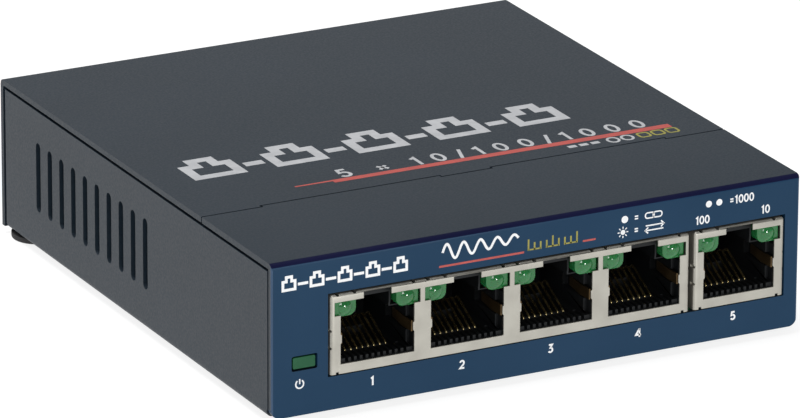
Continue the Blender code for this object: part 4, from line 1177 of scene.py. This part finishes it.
def spring_contacts():
    """Eight round spring wires on each socket's bar, bent back and up towards the plug."""
    tip = Vector((0.0, math.cos(WIRE_SLOPE), math.sin(WIRE_SLOPE))) * WIRE_REACH
    for number in range(1, len(PORTS) + 1):
        node = f"contact_springs_{number}"
        joint = next(item for item in frame["joints"] if item["name"] == f"contacts_{number}_press")
        hinge = Vector(joint["pos_m"])
        bm = bmesh.new()
        for wire in range(WIRE_COUNT):
            x = (wire - (WIRE_COUNT - 1) / 2) * WIRE_PITCH
            corners = [
                Vector((x, 0.05 * MM, -0.1 * MM)),
                Vector((x, -0.4 * MM, 0.2 * MM)),
                Vector((x, 0.1 * MM, 0.55 * MM)),
                Vector((x, 0.0, 0.2 * MM)) + tip,
                Vector((x, 1.2 * MM, -0.7 * MM)) + tip,
            ]
            route = rounded_route(corners, WIRE_BEND)
            add_tube(bm, [hinge + point for point in route], WIRE_RADIUS, 12)
        wires = piece(f"contact_wires_{number}", bm, LOOKS["gold_contacts"])
        smooth(wires, 60.0)
        settled(wires, "gold_contacts", f"contacts_{number}", node)
        bar = bmesh.new()
        reach = Vector((WIRE_PITCH * 3.8, 0.0, 0.0))
        add_cylinder(bar, hinge - reach, hinge + reach, BAR_RADIUS, 24)
        made = piece(f"contact_bar_{number}", bar, LOOKS["black_plastic"])
        soften(made, 0.05 * MM)
        settled(made, "black_plastic", f"contacts_{number}")


# ---------------------------------------------------------------- printing

def add_stroke(bm, points, width, place, closed=False):
    """A line of even width, mitred at its corners, half of its thickness above the surface."""
    half = width / 2
    flat = [Vector(point) for point in points]
    count = len(flat)
    rings = []
    for index, point in enumerate(flat):
        before = flat[(index - 1) % count] if closed or index else None
        after = flat[(index + 1) % count] if closed or index < count - 1 else None
        ways = []
        if before is not None:
            ways.append((point - before).normalized())
        if after is not None:
            ways.append((after - point).normalized())
        normals = [Vector((-way.y, way.x)) for way in ways]
        mitre = sum(normals, Vector((0.0, 0.0))).normalized()
        reach = half / max(mitre.dot(normals[0]), 0.45)
        ring = []
        for side, up in ((1, -PRINT), (-1, -PRINT), (-1, PRINT), (1, PRINT)):
            flat_point = point + mitre * (side * reach)
            ring.append(bm.verts.new(place @ Vector((flat_point.x, flat_point.y, up))))
        rings.append(ring)
    pairs = list(zip(rings, rings[1:]))
    if closed:
        pairs.append((rings[-1], rings[0]))
    for first, second in pairs:
        for corner in range(4):
            other = (corner + 1) % 4
            bm.faces.new((first[corner], first[other], second[other], second[corner]))
    if not closed:
        bm.faces.new(list(reversed(rings[0])))
        bm.faces.new(rings[-1])


def add_dot(bm, x, y, radius, place):
    add_prism(bm, arc(x, y, radius, radius, 0, 345, 23), place, 2 * PRINT)


# Each figure's width, and its strokes as points and whether they close, for a figure one unit high
FIGURES = {
    "0": (0.62, [(arc(0.0, 0.5, 0.23, 0.42, 0, 345, 23), True)]),
    "1": (0.46, [([(-0.16, 0.76), (0.05, 0.90), (0.05, 0.0)], False)]),
    "2": (0.60, [(arc(0.0, 0.66, 0.22, 0.25, 165, -38) + [(-0.24, 0.09), (0.27, 0.09)], False)]),
    "3": (
        0.60,
        [([(-0.22, 0.91), (0.17, 0.91), (-0.04, 0.57)] + arc(-0.03, 0.33, 0.24, 0.24, 78, -150), False)],
    ),
    "4": (
        0.68,
        [([(0.13, 0.0), (0.13, 0.95)], False), ([(0.10, 0.93), (-0.30, 0.27), (0.31, 0.27)], False)],
    ),
    "5": (
        0.60,
        [([(0.20, 0.91), (-0.14, 0.91), (-0.18, 0.56)] + arc(-0.03, 0.34, 0.24, 0.25, 105, -150), False)],
    ),
    "x": (0.62, [([(-0.2, 0.2), (0.2, 0.6)], False), ([(-0.2, 0.6), (0.2, 0.2)], False)]),
    "/": (0.44, [([(-0.16, -0.05), (0.16, 1.0)], False)]),
    "=": (0.60, [([(-0.2, 0.34), (0.2, 0.34)], False), ([(-0.2, 0.62), (0.2, 0.62)], False)]),
    " ": (0.30, []),
}


def add_figures(bm, text, size, weight, place, middle, spacing=1.0):
    """Sets a row of plain figures, drawn as strokes, about a middle point on its baseline."""
    widths = [FIGURES[letter][0] * size * spacing for letter in text]
    x = middle[0] - sum(widths) / 2
    for letter, width in zip(text, widths):
        for points, closed in FIGURES[letter][1]:
            moved = [(x + width / 2 + across * size, middle[1] + up * size) for across, up in points]
            add_stroke(bm, moved, weight, place, closed)
        x += width


def add_linked_ports(bm, left, bottom, size, pitch, weight, place):
    """A plain pictogram: five sockets in a row, linked by a line."""
    for number in range(5):
        x = left + pitch * number
        half = size / 2
        outline = [
            (x, bottom),
            (x + size, bottom),
            (x + size, bottom + 0.66 * size),
            (x + half + 0.22 * size, bottom + 0.66 * size),
            (x + half + 0.22 * size, bottom + size),
            (x + half - 0.22 * size, bottom + size),
            (x + half - 0.22 * size, bottom + 0.66 * size),
            (x, bottom + 0.66 * size),
        ]
        add_stroke(bm, outline, weight, place, True)
        if number < 4:
            level = bottom + 0.33 * size
            gap = 0.12 * size + weight / 2
            add_stroke(bm, [(x + size + gap, level), (x + pitch - gap, level)], weight, place)


def printed(name, bm, ink):
    bmesh.ops.recalc_face_normals(bm, faces=bm.faces)
    made = piece(name, bm, INKS[ink])
    return settled(made, "painted_case", "case")


def front_marks():
    place = facing_front(FRONT)
    white = bmesh.new()
    for number, x in enumerate(PORTS, start=1):
        add_figures(white, str(number), 1.5 * MM, 0.30 * MM, place, (x - 0.75 * MM, BASE + 2.9 * MM))
    printed("port_numbers", white, "white")

    speeds = bmesh.new()
    weight = 0.24 * MM
    add_figures(speeds, "100", 1.42 * MM, weight, place, (29.3 * MM, 21.4 * MM), 1.1)
    add_figures(speeds, "10", 1.42 * MM, weight, place, (40.8 * MM, 21.4 * MM), 1.1)
    add_figures(speeds, "=1000", 1.42 * MM, weight, place, (36.4 * MM, 23.9 * MM), 1.1)
    for x in (30.4, 32.3):
        add_dot(speeds, x * MM, 24.6 * MM, 0.55 * MM, place)
    printed("speed_numbers", speeds, "white")

    legend = bmesh.new()
    add_dot(legend, 15.2 * MM, 24.45 * MM, 0.6 * MM, place)
    add_figures(legend, "=", 1.5 * MM, weight, place, (17.3 * MM, 23.75 * MM))
    for start, end in ((18.9, 20.5), (20.3, 21.9)):
        link_outline = rounded_rectangle(start * MM, 24.0 * MM, end * MM, 24.9 * MM, 0.42 * MM)
        add_stroke(legend, link_outline, 0.22 * MM, place, True)
    add_dot(legend, 14.9 * MM, 22.35 * MM, 0.42 * MM, place)
    inner = arc(14.9 * MM, 22.35 * MM, 0.6 * MM, 0.6 * MM, 0, 315, 7)
    outer = arc(14.9 * MM, 22.35 * MM, 0.95 * MM, 0.95 * MM, 0, 315, 7)
    for ray in zip(inner, outer):
        add_stroke(legend, ray, 0.17 * MM, place)
    add_figures(legend, "=", 1.5 * MM, weight, place, (17.3 * MM, 21.65 * MM))
    for level, tip, tail in ((22.75, 22.3, 19.0), (21.95, 18.9, 22.2)):
        way = 1 if tip > tail else -1
        add_stroke(legend, [(tail * MM, level * MM), (tip * MM, level * MM)], 0.22 * MM, place)
        head = [((tip - way * 0.55) * MM, (level + 0.5) * MM), (tip * MM, level * MM)]
        head.append(((tip - way * 0.55) * MM, (level - 0.5) * MM))
        add_stroke(legend, head, 0.22 * MM, place)
    printed("light_legend", legend, "white")

    emblem = bmesh.new()
    add_linked_ports(emblem, -45.0 * MM, 22.45 * MM, 2.1 * MM, 4.85 * MM, 0.46 * MM, place)
    printed("front_pictogram", emblem, "white")

    wave = bmesh.new()
    points = []
    for step in range(121):
        part = step / 120
        swing = math.sin(part * math.pi * 9.0) * (1.35 - 0.75 * part)
        points.append(((-17.2 + 13.4 * part) * MM, (24.15 + swing + 0.35 * part) * MM))
    add_stroke(wave, points, 0.42 * MM, place)
    printed("signal_wave", wave, "white")

    bars = bmesh.new()
    for number in range(9):
        tall = 1.9 if number in (0, 4, 8) else 1.3
        x = (-2.0 + 1.08 * number) * MM
        add_stroke(bars, [(x, 22.0 * MM), (x, (22.0 + tall) * MM)], 0.3 * MM, place)
        if number % 3 != 2:
            add_stroke(bars, [(x, 22.15 * MM), (x + 1.08 * MM, 22.15 * MM)], 0.24 * MM, place)
    printed("front_bars", bars, "olive")

    lines = bmesh.new()
    add_stroke(lines, [(-17.8 * MM, 21.9 * MM), (-2.8 * MM, 21.9 * MM)], 0.34 * MM, place)
    add_stroke(lines, [(7.7 * MM, 22.05 * MM), (10.0 * MM, 22.05 * MM)], 0.3 * MM, place)
    printed("front_lines", lines, "red")

    power = bmesh.new()
    x, up = -42.1 * MM, 6.55 * MM
    add_stroke(power, arc(x, up, 0.68 * MM, 0.68 * MM, 125, 415, 24), 0.24 * MM, place)
    add_stroke(power, [(x, up), (x, up + 0.85 * MM)], 0.24 * MM, place)
    printed("power_symbol", power, "white")


def top_marks():
    place = Matrix.Translation((0.0, 0.0, PAINTED_TOP))
    emblem = bmesh.new()
    add_linked_ports(emblem, -39.5 * MM, -9.0 * MM, 7.6 * MM, 14.6 * MM, 1.75 * MM, place)
    printed("top_pictogram", emblem, "silver")
    numbers = bmesh.new()
    add_figures(numbers, "5 x 10/100/1000", 3.8 * MM, 0.6 * MM, place, (9.0 * MM, -19.05 * MM), 1.95)
    printed("top_numbers", numbers, "silver")
    line = bmesh.new()
    outline = [(-27.6, -19.35), (-21.0, -19.35), (-21.0, -19.3), (40.1, -19.3)]
    outline += [(40.1, -20.9), (-21.0, -20.6)]
    outline += [(-21.0, -19.85), (-27.6, -19.75)]
    add_prism(line, [(x * MM, y * MM) for x, y in reversed(outline)], place, 2 * PRINT)
    printed("top_line", line, "red")
    small = bmesh.new()
    for x in (20.2, 22.3, 24.4):
        add_stroke(small, [(x * MM, -22.2 * MM), ((x + 1.5) * MM, -22.2 * MM)], 1.0 * MM, place)
    for x in (28.4, 31.0):
        add_stroke(small, arc(x * MM, -22.3 * MM, 0.95 * MM, 1.1 * MM, 0, 345, 23), 0.45 * MM, place, True)
    printed("top_small_marks", small, "silver")
    olive = bmesh.new()
    for x in (33.1, 35.7, 38.3):
        corners = rounded_rectangle(x * MM, -23.3 * MM, (x + 1.9) * MM, -21.3 * MM, 0.5 * MM)
        add_stroke(olive, corners, 0.4 * MM, place, True)
    printed("top_olive_marks", olive, "olive")


add_camera()
add_studio()
case_tray()
case_cover()
feet()
screws()
socket_shield("gang_shield_finish", "gang_socket_shield", GANG_PORTS)
socket_shield("single_shield_finish", "single_socket_shield", SINGLE_PORTS)
socket_housing("gang_housing_finish", "gang_socket_housing", GANG_PORTS)
socket_housing("single_housing_finish", "single_socket_housing", SINGLE_PORTS)
grounding_fingers()
link_lights()
power_light_window()
spring_contacts()
front_marks()
top_marks()

FINISHES = {
    "circuit_board": "board",
    "heatsink": "heatsink_aluminium",
    "crystal": "bright_metal",
    "power_light": "green_lens",
    "power_light_pipe": "light_pipe",
    "power_jack_pin": "bright_metal",
    "power_jack_leaf": "bright_metal",
}
for number in range(1, 5):
    FINISHES[f"board_post_{number}"] = "bright_metal"
    FINISHES[f"board_screw_{number}"] = "bright_metal"
for number in range(1, 4):
    FINISHES[f"capacitor_{number}"] = "capacitor_can"
for number in range(1, 3):
    FINISHES[f"inductor_{number}"] = "ferrite"
for name, node in NODES.items():
    node.data.materials.clear()
    node.data.materials.append(LOOKS[FINISHES.get(name, "black_plastic")])
